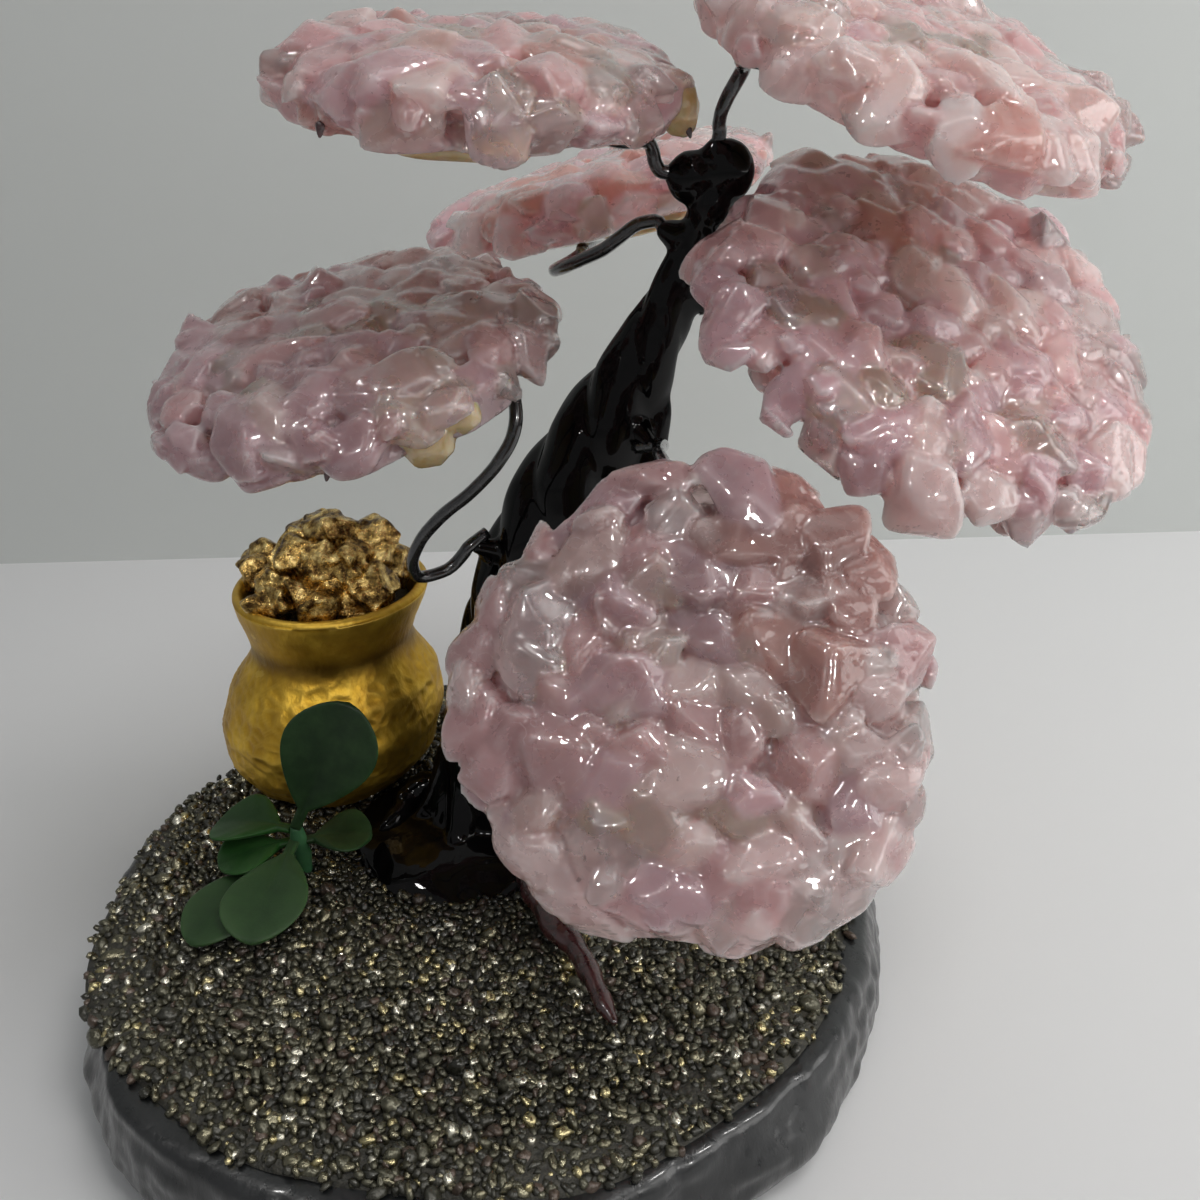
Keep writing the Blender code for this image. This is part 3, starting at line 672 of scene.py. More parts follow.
# each cluster's paleness: partly its own tone, partly painted light; the rear cluster is painted paler to
# lift the shade it lies in
CLUSTER_TONES_AND_LIGHT = {"rear": 1.35, "crown_right": 1.0, "crown_left": 0.90, "right": 1.0, "left": 0.82}
TONE = 0.76                                     # how pale the stones are in a cluster that has no entry above
LIGHT_SLOPES = {"left": 0.22, "right": 0.08, "front": -0.18}      # painted light: stones painted paler towards the back (towards the front when negative)


def stone(rng, half, facets, roundness):
    """Points of one tumbled stone: flat faces all round, with rounded edges between them."""
    ways = []
    for i in range(facets):
        height = 1 - 2 * (i + 0.5) / facets
        around = i * 2.39996 + rng.uniform(-0.35, 0.35)
        flat = math.sqrt(1 - height * height)
        ways.append((flat * math.cos(around), flat * math.sin(around), height))
    ways = np.array(ways) @ turn_matrix(rng.normal(size=3), rng.uniform(0, 6.28))
    depths = rng.uniform(0.78, 1.0, facets)
    lean = np.clip(STONE_BALL @ ways.T, 0, None) / depths
    gauge = (lean ** roundness).sum(1) ** (1 / roundness)
    return STONE_BALL / gauge[:, None] * half


def spread_on_lens(rng, radius, height, low_share, spacing):
    """Evenly scattered (point, outward normal) pairs on a thick lens, in its own frame.

    low_share leaves out the underside within that share of the radius.
    """
    turn = np.linspace(-math.pi / 2, math.pi / 2, 400)
    reach = radius * np.abs(np.cos(turn)) ** (2 / CLUSTER_BEND)
    level = height * np.sign(turn) * np.abs(np.sin(turn)) ** (2 / CLUSTER_BEND)
    step = np.hypot(np.gradient(reach), np.gradient(level)) * reach
    step[(turn < 0) & (reach < radius * low_share)] = 0
    chance = step / step.sum()
    phases = rng.uniform(0, 6.28, 3)
    points = []
    normals = []
    for _ in range(2600):
        pick = rng.choice(400, p=chance)
        angle = rng.uniform(0, 2 * math.pi)
        swell = 1 + 0.035 * math.sin(3 * angle + phases[0]) + 0.03 * math.sin(5 * angle + phases[1])
        out, up = reach[pick] * swell, level[pick]
        point = np.array((out * math.cos(angle), out * math.sin(angle), up))
        if points and np.linalg.norm(np.array(points) - point, axis=1).min() < spacing:
            continue
        side = (out / radius) ** (CLUSTER_BEND - 1) / radius
        rise = np.sign(up) * (abs(up) / height) ** (CLUSTER_BEND - 1) / height
        normal = np.array((side * math.cos(angle), side * math.sin(angle), rise))
        points.append(point)
        normals.append(normal / np.linalg.norm(normal))
    return np.array(points), np.array(normals)


def stone_colours(rng, name, points, radius):
    """(colour, clearness) of each chip, from where it sits in its cluster; the colour's paleness holds
    painted light.
    """
    across = points[:, 0] / radius
    back = points[:, 1] / radius
    mixes = []
    for x, y in zip(across, back):
        weights = {"rose": 1.0, "lavender": 0.8, "salmon": 0.04, "milk": 0.5, "grey": 0.4}
        if name == "front":
            weights["salmon"] += 12.0 * max(0, 1 - math.hypot(x - 0.5, y - 0.52) / 0.48)
            weights["milk"] += 1.6 * max(0, x - 0.1) + 4.0 * max(0, -y - 0.2)
            weights["grey"] += 1.2 * max(0, y) * max(0, 0.2 - x)
        elif name == "left":
            weights["salmon"] += 2.6 * max(0, y - 0.2)
            weights["lavender"] += 2.0 * max(0, 0.4 - y) * max(0, 0.6 - x)
            weights["grey"] += 3.0 * max(0, x - 0.25)
        elif name == "right":
            weights["lavender"] += 2.0 * max(0, -x - 0.2)
            weights["salmon"] += 1.6 * max(0, y) * max(0, 0.8 - abs(x))
            weights["milk"] += 1.6 * max(0, x)
        elif name == "crown_right":
            weights["milk"] += 1.6
            weights["lavender"] = 0.2
        elif name == "crown_left":
            weights["milk"] += 0.8 * max(0, y)
            weights["salmon"] += 0.2
        else:
            weights["rose"] += 1.0
            weights["salmon"] += 0.9
        names = sorted(weights)
        share = np.array([weights[key] for key in names])
        mixes.append(names[rng.choice(len(names), p=share / share.sum())])
    shades = {"rose": ROSE, "lavender": LAVENDER, "salmon": SALMON, "milk": MILK, "grey": GREY}
    base = np.array([shades[key] for key in mixes])
    # painted light: each cluster's paleness partly lifts or lowers it to stand in for how it is lit
    base = (base * 0.66 + np.array(ROSE) * 0.34) * CLUSTER_TONES_AND_LIGHT.get(name, TONE)
    base *= rng.uniform(0.88, 1.08, (len(base), 1))
    # painted light: stones painted paler across the cluster, lifting the parts that lie darker
    base *= 1 + LIGHT_SLOPES.get(name, 0.0) * back[:, None]
    chances = {"rose": 0.10, "lavender": 0.12, "salmon": 0.0, "milk": 0.22, "grey": 0.50}
    rim = np.clip(np.hypot(across, back) - 0.55, 0, 0.45)
    chance = np.array([chances[key] for key in mixes]) + rim * (0.3 + 0.7 * across)
    clear = np.where(rng.uniform(size=len(base)) < chance, rng.uniform(0.4, 1.0, len(base)), 0.0)
    return np.clip(base, 0, 0.95), clear


def build_cluster(name, seed, look):
    """All the chips of a cluster, bonded by glue into one mat with a scalloped edge."""
    rng = np.random.default_rng(seed)
    top, flat_radius, axes = pad_frame(name)
    radius = (flat_radius + PAD_EDGE) / PAD_SHARE
    centre = top + axes[2] * PAD_DEPTH
    inner = radius - RIM_INSET
    points, normals = spread_on_lens(rng, inner, CHIP_RISE, LOW_SHARE, CHIP_SPACING)
    crumbs, crumb_normals = spread_on_lens(rng, inner + 0.7 * MM, CRUMB_RISE, LOW_SHARE, CRUMB_SPACING)
    sizes = [1.0] * len(points) + [CRUMB_SHARE] * len(crumbs)
    points = np.vstack((points, crumbs))
    normals = np.vstack((normals, crumb_normals))
    parts = []
    owners = []
    for number, (point, normal, size) in enumerate(zip(points, normals, sizes)):
        tilt = turn_matrix(rng.normal(size=3), rng.normal(0, 0.18))
        lean = normal + np.array((0, 0, 0.8 * (1 - abs(normal[2]))))
        up = tilt @ (lean / np.linalg.norm(lean))
        side = np.cross(up, rng.normal(size=3))
        side /= np.linalg.norm(side)
        turn = np.array((side, np.cross(up, side), up))
        grow = size * rng.uniform(0.76, 1.22) * np.array((rng.uniform(0.9, 1.25), 1.0,
                                                          rng.uniform(0.85, 1.1)))
        sink = normal * rng.uniform(-0.35, 0.12) * MM
        local = stone(rng, CHIP_HALF * grow, int(rng.integers(8, 15)), rng.uniform(9, 24)) @ turn
        local = local + point + sink
        reach = np.hypot(local[:, 0], local[:, 1])
        limit = radius - RIM_LIMIT
        inside = np.where(reach > limit, limit + (reach - limit) * 0.6, reach)
        local[:, :2] *= (inside / reach)[:, None]
        level = local[:, 2]
        local[:, 2] = np.where(level < -LOW_LIMIT, -LOW_LIMIT + (level + LOW_LIMIT) * 0.3, level)
        parts.append((local, STONE_FACES))
        owners += [number] * len(STONE_BALL)
    angles = np.linspace(0, 2 * math.pi, 32, endpoint=False)
    core = []
    for reach, level in ((0.80, -1.4), (0.92, 0.2), (0.86, 1.8), (0.5, 3.2)):
        core.append(np.column_stack((np.cos(angles) * inner * reach, np.sin(angles) * inner * reach,
                                     np.full(32, level * MM))))
    parts.append((np.vstack(core), grid_faces(4, 32)))
    local, faces = merged(parts)
    mat = new_object("quartz_" + name, local @ axes + centre, faces)
    bond(mat, CHIP_VOXEL, 1)
    fill_creases(mat, 18, 0.8)
    tree = KDTree(len(owners))
    for i, point in enumerate(local[:len(owners)]):
        tree.insert(point, i)
    tree.balance()
    skin = (mesh_points(mat) - centre) @ axes.T
    colours, clear = stone_colours(rng, name, points, inner)
    nearest = np.array([owners[tree.find(point)[1]] for point in skin])
    paint(mat, "stone", softened(mat, np.column_stack((colours, clear))[nearest], 3))
    push_out(mat, 0.14 * MM * lattice_noise(skin, 2.4 * MM, seed))
    mat.data.materials.append(look)
    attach(mat, "branch_" + name)
    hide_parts("quartz_chips_" + name)
    return centre, radius, axes


DROPS = {
    # runs of glue that show at a cluster's edge: (x, y as shares of its radius, z in mm, half sizes in mm)
    "left": ((0.42, -0.72, -2.6, (2.4, 2.2, 2.7)), (0.33, -0.66, -1.8, (4.6, 3.0, 2.2)),
             (0.54, -0.66, -1.0, (2.6, 2.2, 2.0))),
    "crown_left": ((-0.05, -0.66, -3.2, (7.0, 2.6, 1.2)), (0.91, -0.15, -0.8, (1.9, 2.2, 2.8))),
    "rear": ((0.2, -0.6, -3.2, (6.0, 3.0, 1.6)),),
}
NIBS = {
    # dark scraps of burnt glue: (x, y as shares of the radius, z in mm, length in mm, heading in degrees)
    "left": ((0.00, -0.84, -2.4, 3.8, 12), (0.02, -0.83, -2.2, 2.2, 250)),
    "crown_left": ((-0.60, -0.66, -1.6, 2.2, 265), (0.93, -0.18, -2.4, 2.2, 290)),
}


def build_glue(name, seed, centre, radius, axes, look):
    """The blob of glue under a cluster, which the wire runs into, and its runs at the edge."""
    pad_points, pad_faces = ball(5)
    reach = radius * PAD_SHARE
    lumps = 1 + 0.05 * lattice_noise(pad_points, 0.5, seed) + 0.03 * lattice_noise(pad_points, 0.2, seed)
    flat = np.sign(pad_points[:, 2]) * np.abs(pad_points[:, 2]) ** 0.7
    parts = [(np.column_stack((pad_points[:, 0] * reach * lumps, pad_points[:, 1] * reach * lumps,
                               flat * 2.2 * MM * lumps - 2.9 * MM)), pad_faces)]
    for x, y, level, half in DROPS.get(name, ()):
        rough = 1 + 0.22 * lattice_noise(pad_points, 0.7, seed + 5)
        rough += 0.08 * lattice_noise(pad_points, 0.3, seed)
        drop = pad_points * half * MM * rough[:, None] + (x * radius, y * radius, level * MM)
        parts.append((drop, pad_faces))
    local, faces = merged(parts)
    glue = new_object("glue_" + name, local @ axes + centre, faces)
    bond(glue, 0.35 * MM, 6)
    glue.data.materials.append(look)
    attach(glue, "branch_" + name)
    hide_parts("glue_pad_" + name)


def build_nibs(name, centre, radius, axes, look):
    """Small dark scraps of burnt glue at the edge of a cluster."""
    parts = []
    for x, y, level, length, heading in NIBS[name]:
        way = np.array((math.cos(math.radians(heading)), 0.3 * math.sin(math.radians(heading)),
                        0.6 * math.sin(math.radians(heading))))
        start = np.array((x * radius, y * radius, level * MM))
        line = smooth_line((start, start + way * 0.5 * length * MM + (0, 0, 0.2 * MM),
                            start + way * length * MM), 16)
        parts.append(tube(line, np.interp(np.linspace(0, 1, 16), (0, 0.3, 1), (0.25, 0.55, 0.12)) * MM, 10))
    local, faces = merged(parts)
    scraps = new_object("scraps_" + name, local @ axes + centre, faces)
    bond(scraps, 0.12 * MM, 1)
    skin = mesh_points(scraps)
    push_out(scraps, 0.10 * MM * lattice_noise(skin, 0.7 * MM, 12))
    scraps.data.materials.append(look)
    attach(scraps, "branch_" + name)


# ---------------------------------------------------------------- wires

WIRE_RADIUS = 0.76 * MM


def build_wire(name, look):
    """A branch wire, with its start sunk in the clay."""
    pivot = PIVOTS["branch_" + name]
    centres = ring_centres("branch_wire_" + name, pivot)
    heading = centres[1] - centres[0]
    heading /= np.linalg.norm(heading)
    line = smooth_line(np.vstack((centres[0] - heading * 2.2 * MM, centres)), 90)
    bend = lattice_noise(line, 2.5 * MM, len(name)) * 0.05
    wire = new_object("wire_" + name, *tube(line, WIRE_RADIUS * (1 + bend), 14))
    wire.data.materials.append(look)
    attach(wire, "branch_" + name)
    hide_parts("branch_wire_" + name)


# ---------------------------------------------------------------- trunk and roots

SKIRT_SHIFT = np.array((-1.5, -2.5, -0.2)) * MM     # the middle of the skirt from the trunk's foot
TRUNK_VOXEL = 0.36 * MM


def build_trunk(look):
    """Thick black clay over the twisted wires, with spiral lumps, a side strand and a knobbed crown."""
    low, high = box("trunk_clay")
    heights = np.linspace(low[2] + 0.6 * MM, high[2] - 0.6 * MM, 22)
    cuts = [outline("trunk_clay", height) for height in heights]
    rough = np.array([(*centre, radius) for centre, radius in cuts])
    line = smooth_line(rough, 260)
    share = np.linspace(0, 1, 260)
    thin = np.interp(share, (0, 0.06, 0.55, 0.80, 0.90, 0.95, 1.0), (1.0, 0.98, 0.98, 0.92, 0.80, 0.85, 0.9))
    radius = line[:, 3] * thin
    angles = np.linspace(0, 2 * math.pi, 72, endpoint=False)
    spiral = np.abs(np.cos(1.5 * angles[None] + 2 * math.pi * 4.2 * share[:, None])) ** 0.8
    fade = np.interp(share, (0, 0.1, 0.35, 0.88, 0.95), (0.3, 0.7, 1.0, 1.0, 0.3))[:, None]
    wall = radius[:, None] * (0.87 + 0.19 * spiral * fade)
    parts = [tube(line[:, :3], wall, 72)]
    crown = line[-1, :3]
    knob_ball, knob_faces = ball(4)
    for shift, size in (((-2.2, 0, -1.0), (2.6, 2.4, 2.8)), ((1.6, 0.2, -0.6), (3.0, 2.6, 3.4)),
                        ((-0.2, 0, -4.0), (2.4, 2.3, 3.4))):
        parts.append((knob_ball * np.array(size) * MM + crown + np.array(shift) * MM, knob_faces))
    for name in BRANCHES:
        pivot = PIVOTS["branch_" + name]
        inside = line[np.linalg.norm(line[:, :3] - pivot, axis=1).argmin(), :3]
        out = pivot - inside
        root = inside + out * 0.3
        tip = pivot + out / np.linalg.norm(out) * 0.5 * MM
        collar = smooth_line((root, (root + tip) / 2, tip), 10)
        parts.append(tube(collar, np.linspace(2.1, 0.85, 10) * MM, 20))
    side_line, side_radius = side_strand(line, share)
    parts.append(tube(side_line, side_radius, 24))
    foot = line[0, :3]
    for angle, reach, size in ((200, 13.5, 3.4), (250, 12.5, 3.6), (300, 12.0, 3.2), (350, 12.5, 3.4),
                               (45, 12.5, 3.4), (100, 12.0, 3.4), (150, 13.0, 3.2)):
        way = np.array((math.cos(math.radians(angle)), math.sin(math.radians(angle)), 0.0))
        toe = smooth_line((foot + way * 3 * MM + np.array((0, 0, 12 * MM)),
                           foot + way * 7.5 * MM + np.array((0, 0, 4.5 * MM)),
                           foot + way * reach * MM + np.array((0, 0, 0.6 * MM))), 24)
        parts.append(tube(toe, np.linspace(size, 1.0, 24) * MM, 20))
    skirt = knob_ball * np.array((17.0, 16.5, 4.6)) * MM
    skirt *= (1 + 0.10 * lattice_noise(knob_ball, 0.55, 8))[:, None]
    parts.append((skirt + foot + SKIRT_SHIFT, knob_faces))
    trunk = new_object("trunk", *merged(parts))
    bond(trunk, TRUNK_VOXEL, 7)
    skin = mesh_points(trunk)
    lumps = 0.38 * lattice_noise(skin, 4.6 * MM, 5) + 0.05 * lattice_noise(skin, 2.2 * MM, 6)
    push_out(trunk, lumps * MM * np.clip((high[2] + 4 * MM - skin[:, 2]) / (20 * MM), 0.25, 1.0))
    trunk.data.materials.append(look)
    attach(trunk, "base")
    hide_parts("trunk_clay")
    return line


def side_strand(line, share):
    """A thick run of clay down the viewer's right side of the trunk, standing a little clear of it."""
    at = np.linspace(0.44, 0.74, 8)
    centre = np.column_stack([np.interp(at, share, line[:, k]) for k in range(4)])
    lift = np.array((0.9, 1.06, 1.16, 1.20, 1.16, 1.06, 0.9, 0.6))
    way = np.array((0.93, -0.34, -0.10))
    way /= np.linalg.norm(way)
    points = centre[:, :3] + way * (centre[:, 3] * lift)[:, None]
    path = smooth_line(points, 60)
    radius = np.interp(np.linspace(0, 1, 60), (0, 0.15, 0.5, 0.85, 1), (1.2, 2.3, 2.1, 1.5, 0.9)) * MM
    return path, radius


def build_root(node, look):
    """A tapering clay root that lies on the grit, with knuckles along it."""
    centres, radii = spine(node, middle("trunk_clay") * (1, 1, 0), 5)
    foot = np.array((*outline("trunk_clay", box("trunk_clay")[0][2] + MM)[0][:2], 0))
    towards = foot - centres[0]
    towards[2] = 0
    start = centres[0] + towards / np.linalg.norm(towards) * 3 * MM + np.array((0, 0, 0.6 * MM))
    line = smooth_line(np.vstack((start, centres)), 80)
    share = np.linspace(0, 1, 80)
    radius = np.interp(share, np.linspace(0, 1, 6), (radii[0] * 1.05, *radii))
    radius *= 0.86 * (1 + 0.12 * np.sin(share * 26) * (1 - share))
    line[:, 0] += 0.55 * MM * np.sin(share * 11) * np.sin(math.pi * share)
    radius[-6:] *= np.linspace(1, 0.35, 6)
    root = new_object(node + "_skin", *tube(line, radius, 24))
    bond(root, 0.3 * MM, 2)
    skin = mesh_points(root)
    push_out(root, 0.22 * MM * lattice_noise(skin, 1.8 * MM, 9))
    root.data.materials.append(look)
    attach(root, "base")
    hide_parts(node)


# ---------------------------------------------------------------- slice and grit

def build_slice(look):
    """A sawn round of wood, painted black, with its bark standing out in broken ridges."""
    low, high = box("wood_slice")
    centre = (low + high) / 2
    radius = (high - low)[:2].mean() / 2
    top = high[2]
    sides = 720
    profile = ((0.930, 0.0), (0.965, 0.04), (0.985, 0.12), (0.995, 0.22), (1.0, 0.32), (0.998, 0.42),
               (0.993, 0.52), (0.987, 0.62), (0.981, 0.72), (0.976, 0.82), (0.970, 0.90),
               (0.962, 0.955), (0.950, 0.985), (0.935, 1.0), (0.90, 1.003), (0.80, 1.0), (0.4, 1.0))
    spread = smooth_line([(r * radius, z * top, 0.0) for r, z in profile], 110)
    angles = np.linspace(0, 2 * math.pi, sides, endpoint=False)
    wobble = (0.7 * np.sin(3 * angles + 0.6) + 0.35 * np.sin(7 * angles)) * MM
    points = []
    for reach, level, _ in spread:
        share = np.clip((reach / radius - 0.86) / 0.08, 0, 1)
        around = np.column_stack((np.cos(angles) * radius, np.sin(angles) * radius,
                                  np.full(sides, level)))
        bark = np.abs(lattice_noise(around * (1, 1, 0.55), 4.2 * MM, 21))
        plates = lattice_noise(around * (0.45, 0.45, 1.0), 5.5 * MM, 22)
        layers = lattice_noise(around * (0.22, 0.22, 1.0), 1.7 * MM, 25)
        cracks = lattice_noise(around * (0.8, 0.8, 0.8), 1.3 * MM, 23)
        rough = (0.55 * bark + 0.85 * plates + 0.35 * layers + 0.16 * cracks - 0.6) * MM * share
        out = reach + wobble * min(1.0, reach / radius) + rough
        points.append(np.column_stack((out * np.cos(angles), out * np.sin(angles),
                                       np.full(sides, level) + 0.12 * MM * share * plates)))
    points = np.vstack(points)
    points[:, :2] += centre[:2]
    points[:, 2] = np.clip(points[:, 2], 0, None)
    wood = new_object("slice", points, grid_faces(len(spread), sides))
    wood.data.materials.append(look)
    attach(wood, "base")
    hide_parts("wood_slice")


GRIT_SHIFT = np.array((0.9, -0.9)) * MM         # the loose grains spread further than the glued bed
GRAIN_SPACING = 0.92 * MM
ROW = 0.87                                      # distance between rows of grains, over their spacing
POT_CLEARING = 10.5 * MM                        # no grains nearer than this to the pot's middle
FOOT_CLEARING = 14.5 * MM                       # nor to the middle of the trunk's skirt


def build_bed(look):
    """The dark glue that the grit is set in."""
    low, high = box("gravel_bed")
    centre = (low + high) / 2
    radius = (high - low)[:2].mean() / 2
    sides = 240
    angles = np.linspace(0, 2 * math.pi, sides, endpoint=False)
    ragged = (0.8 * np.sin(4 * angles) + 0.5 * np.sin(9 * angles + 1)) * MM
    rings = []
    for reach, level in ((1.03, -0.9), (1.04, -0.1), (1.01, 0.45), (0.96, 0.8), (0.9, 1.0), (0.5, 1.05),
                         (0.05, 1.05)):
        out = reach * radius + ragged
        rings.append(np.column_stack((out * np.cos(angles) + centre[0], out * np.sin(angles) + centre[1],
                                      np.full(sides, low[2] + level * MM))))
    points = np.vstack(rings)
    points[:, 2] += 0.25 * MM * lattice_noise(points, 4 * MM, 31)
    points[:, :2] += GRIT_SHIFT
    bed = new_object("gravel_glue", points, grid_faces(len(rings), sides))
    bed.data.materials.append(look)
    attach(bed, "base")
    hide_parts("gravel_bed")
    return centre + (*GRIT_SHIFT, 0), radius, low[2]


def build_grit(centre, radius, level, look):
    """Thousands of loose-looking grains, each a small block with its own colour, painted darker as shadow
    near the trunk's foot.
    """
    rng = np.random.default_rng(41)
    fine, fine_faces = ball(2)
    kinds = []
    for _ in range(24):
        ways = rng.normal(size=(7, 3))
        ways /= np.linalg.norm(ways, axis=1)[:, None]
        ways = np.vstack((ways, -ways))
        depths = rng.uniform(0.55, 1.0, 14)
        gauge = (np.clip(fine @ ways.T, 0, None) / depths).max(1)
        kinds.append(fine / gauge[:, None])
    spacing = GRAIN_SPACING
    count = int(2.14 * radius / spacing)
    spots = []
    for i in range(count + 1):
        for j in range(int(count / ROW) + 1):
            x = (i - count / 2 + 0.5 * (j % 2)) * spacing + rng.normal(0, 0.24 * MM)
            y = (j - count / ROW / 2) * spacing * ROW + rng.normal(0, 0.24 * MM)
            angle = math.atan2(y, x)
            edge = 1.05 * radius + (0.8 * math.sin(4 * angle) + 0.5 * math.sin(9 * angle + 1)) * MM
            if math.hypot(x, y) < edge - rng.uniform(-0.3, 1.3) * MM:
                spots.append((x + centre[0], y + centre[1]))
    pot_centre, _ = outline("pot", box("pot")[0][2] + 1.5 * MM)
    foot, _ = outline("trunk_clay", box("trunk_clay")[0][2] + MM)
    points = []
    colours = []
    all_faces = []
    palette = np.array(((0.048, 0.046, 0.034), (0.100, 0.095, 0.064), (0.20, 0.185, 0.125),
                        (0.46, 0.40, 0.22), (0.62, 0.60, 0.50), (0.11, 0.078, 0.058)))
    weights = np.array((0.27, 0.37, 0.19, 0.04, 0.05, 0.08))
    metals = np.array((0.25, 0.5, 0.85, 0.95, 0.9, 0.2))
    for x, y in spots:
        if math.hypot(x - pot_centre[0], y - pot_centre[1]) < POT_CLEARING:
            continue
        away = math.hypot(x - foot[0] - SKIRT_SHIFT[0], y - foot[1] - SKIRT_SHIFT[1])
        if away < FOOT_CLEARING:
            continue
        size = rng.uniform(0.47, 0.86) * MM
        if rng.uniform() < 0.08:
            size *= 1.45
        kind = kinds[rng.integers(len(kinds))]
        turn = turn_matrix(rng.normal(size=3), rng.uniform(0, 6.28))
        stretch = size * rng.uniform(0.75, 1.2, 3)
        reach = math.hypot(x - centre[0], y - centre[1]) / radius
        rise = level + (1.15 - 1.1 * max(0.0, reach - 0.88) / 0.16 + rng.uniform(-0.25, 0.35)) * MM
        start = len(points) * len(fine)
        points.append((kind * stretch) @ turn + (x, y, rise))
        all_faces.append(fine_faces + start)
        pick = rng.choice(len(palette), p=weights)
        # painted shadow: grains near the trunk's skirt are painted darker
        shadow = min(1.0, 0.22 + max(0.0, away - 15 * MM) / (15 * MM))
        shade = palette[pick] * rng.uniform(0.75, 1.3) * shadow
        colours.append(np.tile((*shade, metals[pick]), (len(fine), 1)))
    mesh = bpy.data.meshes.new("grit")
    points = np.vstack(points).astype(np.float32)
    all_faces = np.vstack(all_faces).astype(np.int32)
    mesh.vertices.add(len(points))
    mesh.vertices.foreach_set("co", points.ravel())
    mesh.loops.add(all_faces.size)
    mesh.loops.foreach_set("vertex_index", all_faces.ravel())
    mesh.polygons.add(len(all_faces))
    mesh.polygons.foreach_set("loop_start", np.arange(0, all_faces.size, 3, dtype=np.int32))
    mesh.update(calc_edges=True)
    mesh.validate()
    grit = bpy.data.objects.new("grit", mesh)
    bpy.context.scene.collection.objects.link(grit)
    paint(grit, "grain", np.clip(np.vstack(colours), 0, 1))
    grit.data.materials.append(look)
    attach(grit, "base")


# ---------------------------------------------------------------- pot and nuggets

POT_WALL = 1.5 * MM


def build_pot(look):
    """The crooked gold pot: hammered belly, pinched neck and a flaring rim with a thin lip; the neck and the
    foot are painted dark as shade.
    """
    low, high = box("pot")
    heights = np.linspace(low[2] + 0.5 * MM, high[2] - 1.1 * MM, 26)
    cuts = [outline("pot", height) for height in heights]
    rough = [(centre[0], centre[1], height, radius) for (centre, radius), height in zip(cuts, heights)]
    rings = smooth_line(rough, 120)
    wall = POT_WALL
    lip = []
    last = rings[-1]
    for turn in np.linspace(0, math.pi, 9):
        lip.append((last[0], last[1], last[2] + math.sin(turn) * wall * 0.5,
                    last[3] - (1 - math.cos(turn)) * wall * 0.5))
    inside = rings[::-1].copy()[2:60]
    inside[:, 3] -= wall
    rings = np.vstack((rings, lip, inside))
    sides = 240
    angles = np.linspace(0, 2 * math.pi, sides, endpoint=False)
    points = []
    for x, y, z, r in rings:
        points.append(np.column_stack((x + r * np.cos(angles), y + r * np.sin(angles), np.full(sides, z))))
    points = np.vstack(points)
    pot = new_object("gold_pot", points, grid_faces(len(rings), sides))
    skin = mesh_points(pot)
    outer = np.arange(len(skin)) < 120 * sides
    belly = np.clip((high[2] - 8 * MM - skin[:, 2]) / (5 * MM), 0.15, 1.0)
    dents = hammer(skin, 1.9 * MM, 51) * 0.13 + lattice_noise(skin, 7 * MM, 52) * 0.45
    push_out(pot, np.where(outer, dents * belly * MM, 0.0))
    neck = rings[60:115][rings[60:115, 3].argmin(), 2]
    # painted shade: a dark band at the neck under the rim and at the foot where the pot stands in the grit
    neck_and_foot_shade = np.exp(-((skin[:, 2] - neck) / (1.7 * MM)) ** 2)
    neck_and_foot_shade += np.exp(-((skin[:, 2] - low[2]) / (2.4 * MM)) ** 2)
    neck_and_foot_shade = np.clip(neck_and_foot_shade + 0.15 * lattice_noise(skin, 2.5 * MM, 53), 0, 1)
    paint(pot, "neck_and_foot_shade", np.column_stack((np.ones((len(skin), 3)), neck_and_foot_shade)))
    pot.data.materials.append(look)
    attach(pot, "base")
    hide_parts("pot")


def hammer(points, size, seed):
    """Dents with ridges between them, from -1 in a dent to about 1 on a ridge."""
    rng = np.random.default_rng(seed)
    low, high = points.min(0) - size, points.max(0) + size
    volume = np.prod((high - low) / size)
    seeds = rng.uniform(low, high, (int(volume * 0.9), 3))
    tree = KDTree(len(seeds))
    for i, place in enumerate(seeds):
        tree.insert(place, i)
    tree.balance()
    gap = []
    for point in points:
        (_, _, near), (_, _, next_near) = tree.find_n(point, 2)
        gap.append(next_near - near)
    return 1 - 2 * np.clip(np.array(gap) / size * 1.6, 0, 1)


def build_fill(look):
    """Glue and dust under the nuggets."""
    low, high = box("pot_fill")
    centre, radius = outline("pot_fill", high[2] - 0.5 * MM)
    points, faces = ball(4)
    shape = points * (radius * 1.02, radius * 1.02, 5 * MM)
    shape[:, 2] += 0.9 * MM * lattice_noise(shape, 3 * MM, 61) * (points[:, 2] > 0)
    shape += (centre[0], centre[1], high[2] - 1.5 * MM)
    fill = new_object("fill", shape, faces)
    fill.data.materials.append(look)
    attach(fill, "base")
    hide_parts("pot_fill")


NUGGET_SWELL = np.array((1.42, 1.42, 1.15))     # the lumps touch, where the CAD solids keep a gap
NUGGET_SPREAD = 0.13                            # the real heap is a little wider and lower than the CAD one
NUGGET_PULL = 0.14                              # and keeps inside the rim at the front and right
NUGGET_SINK = 0.22


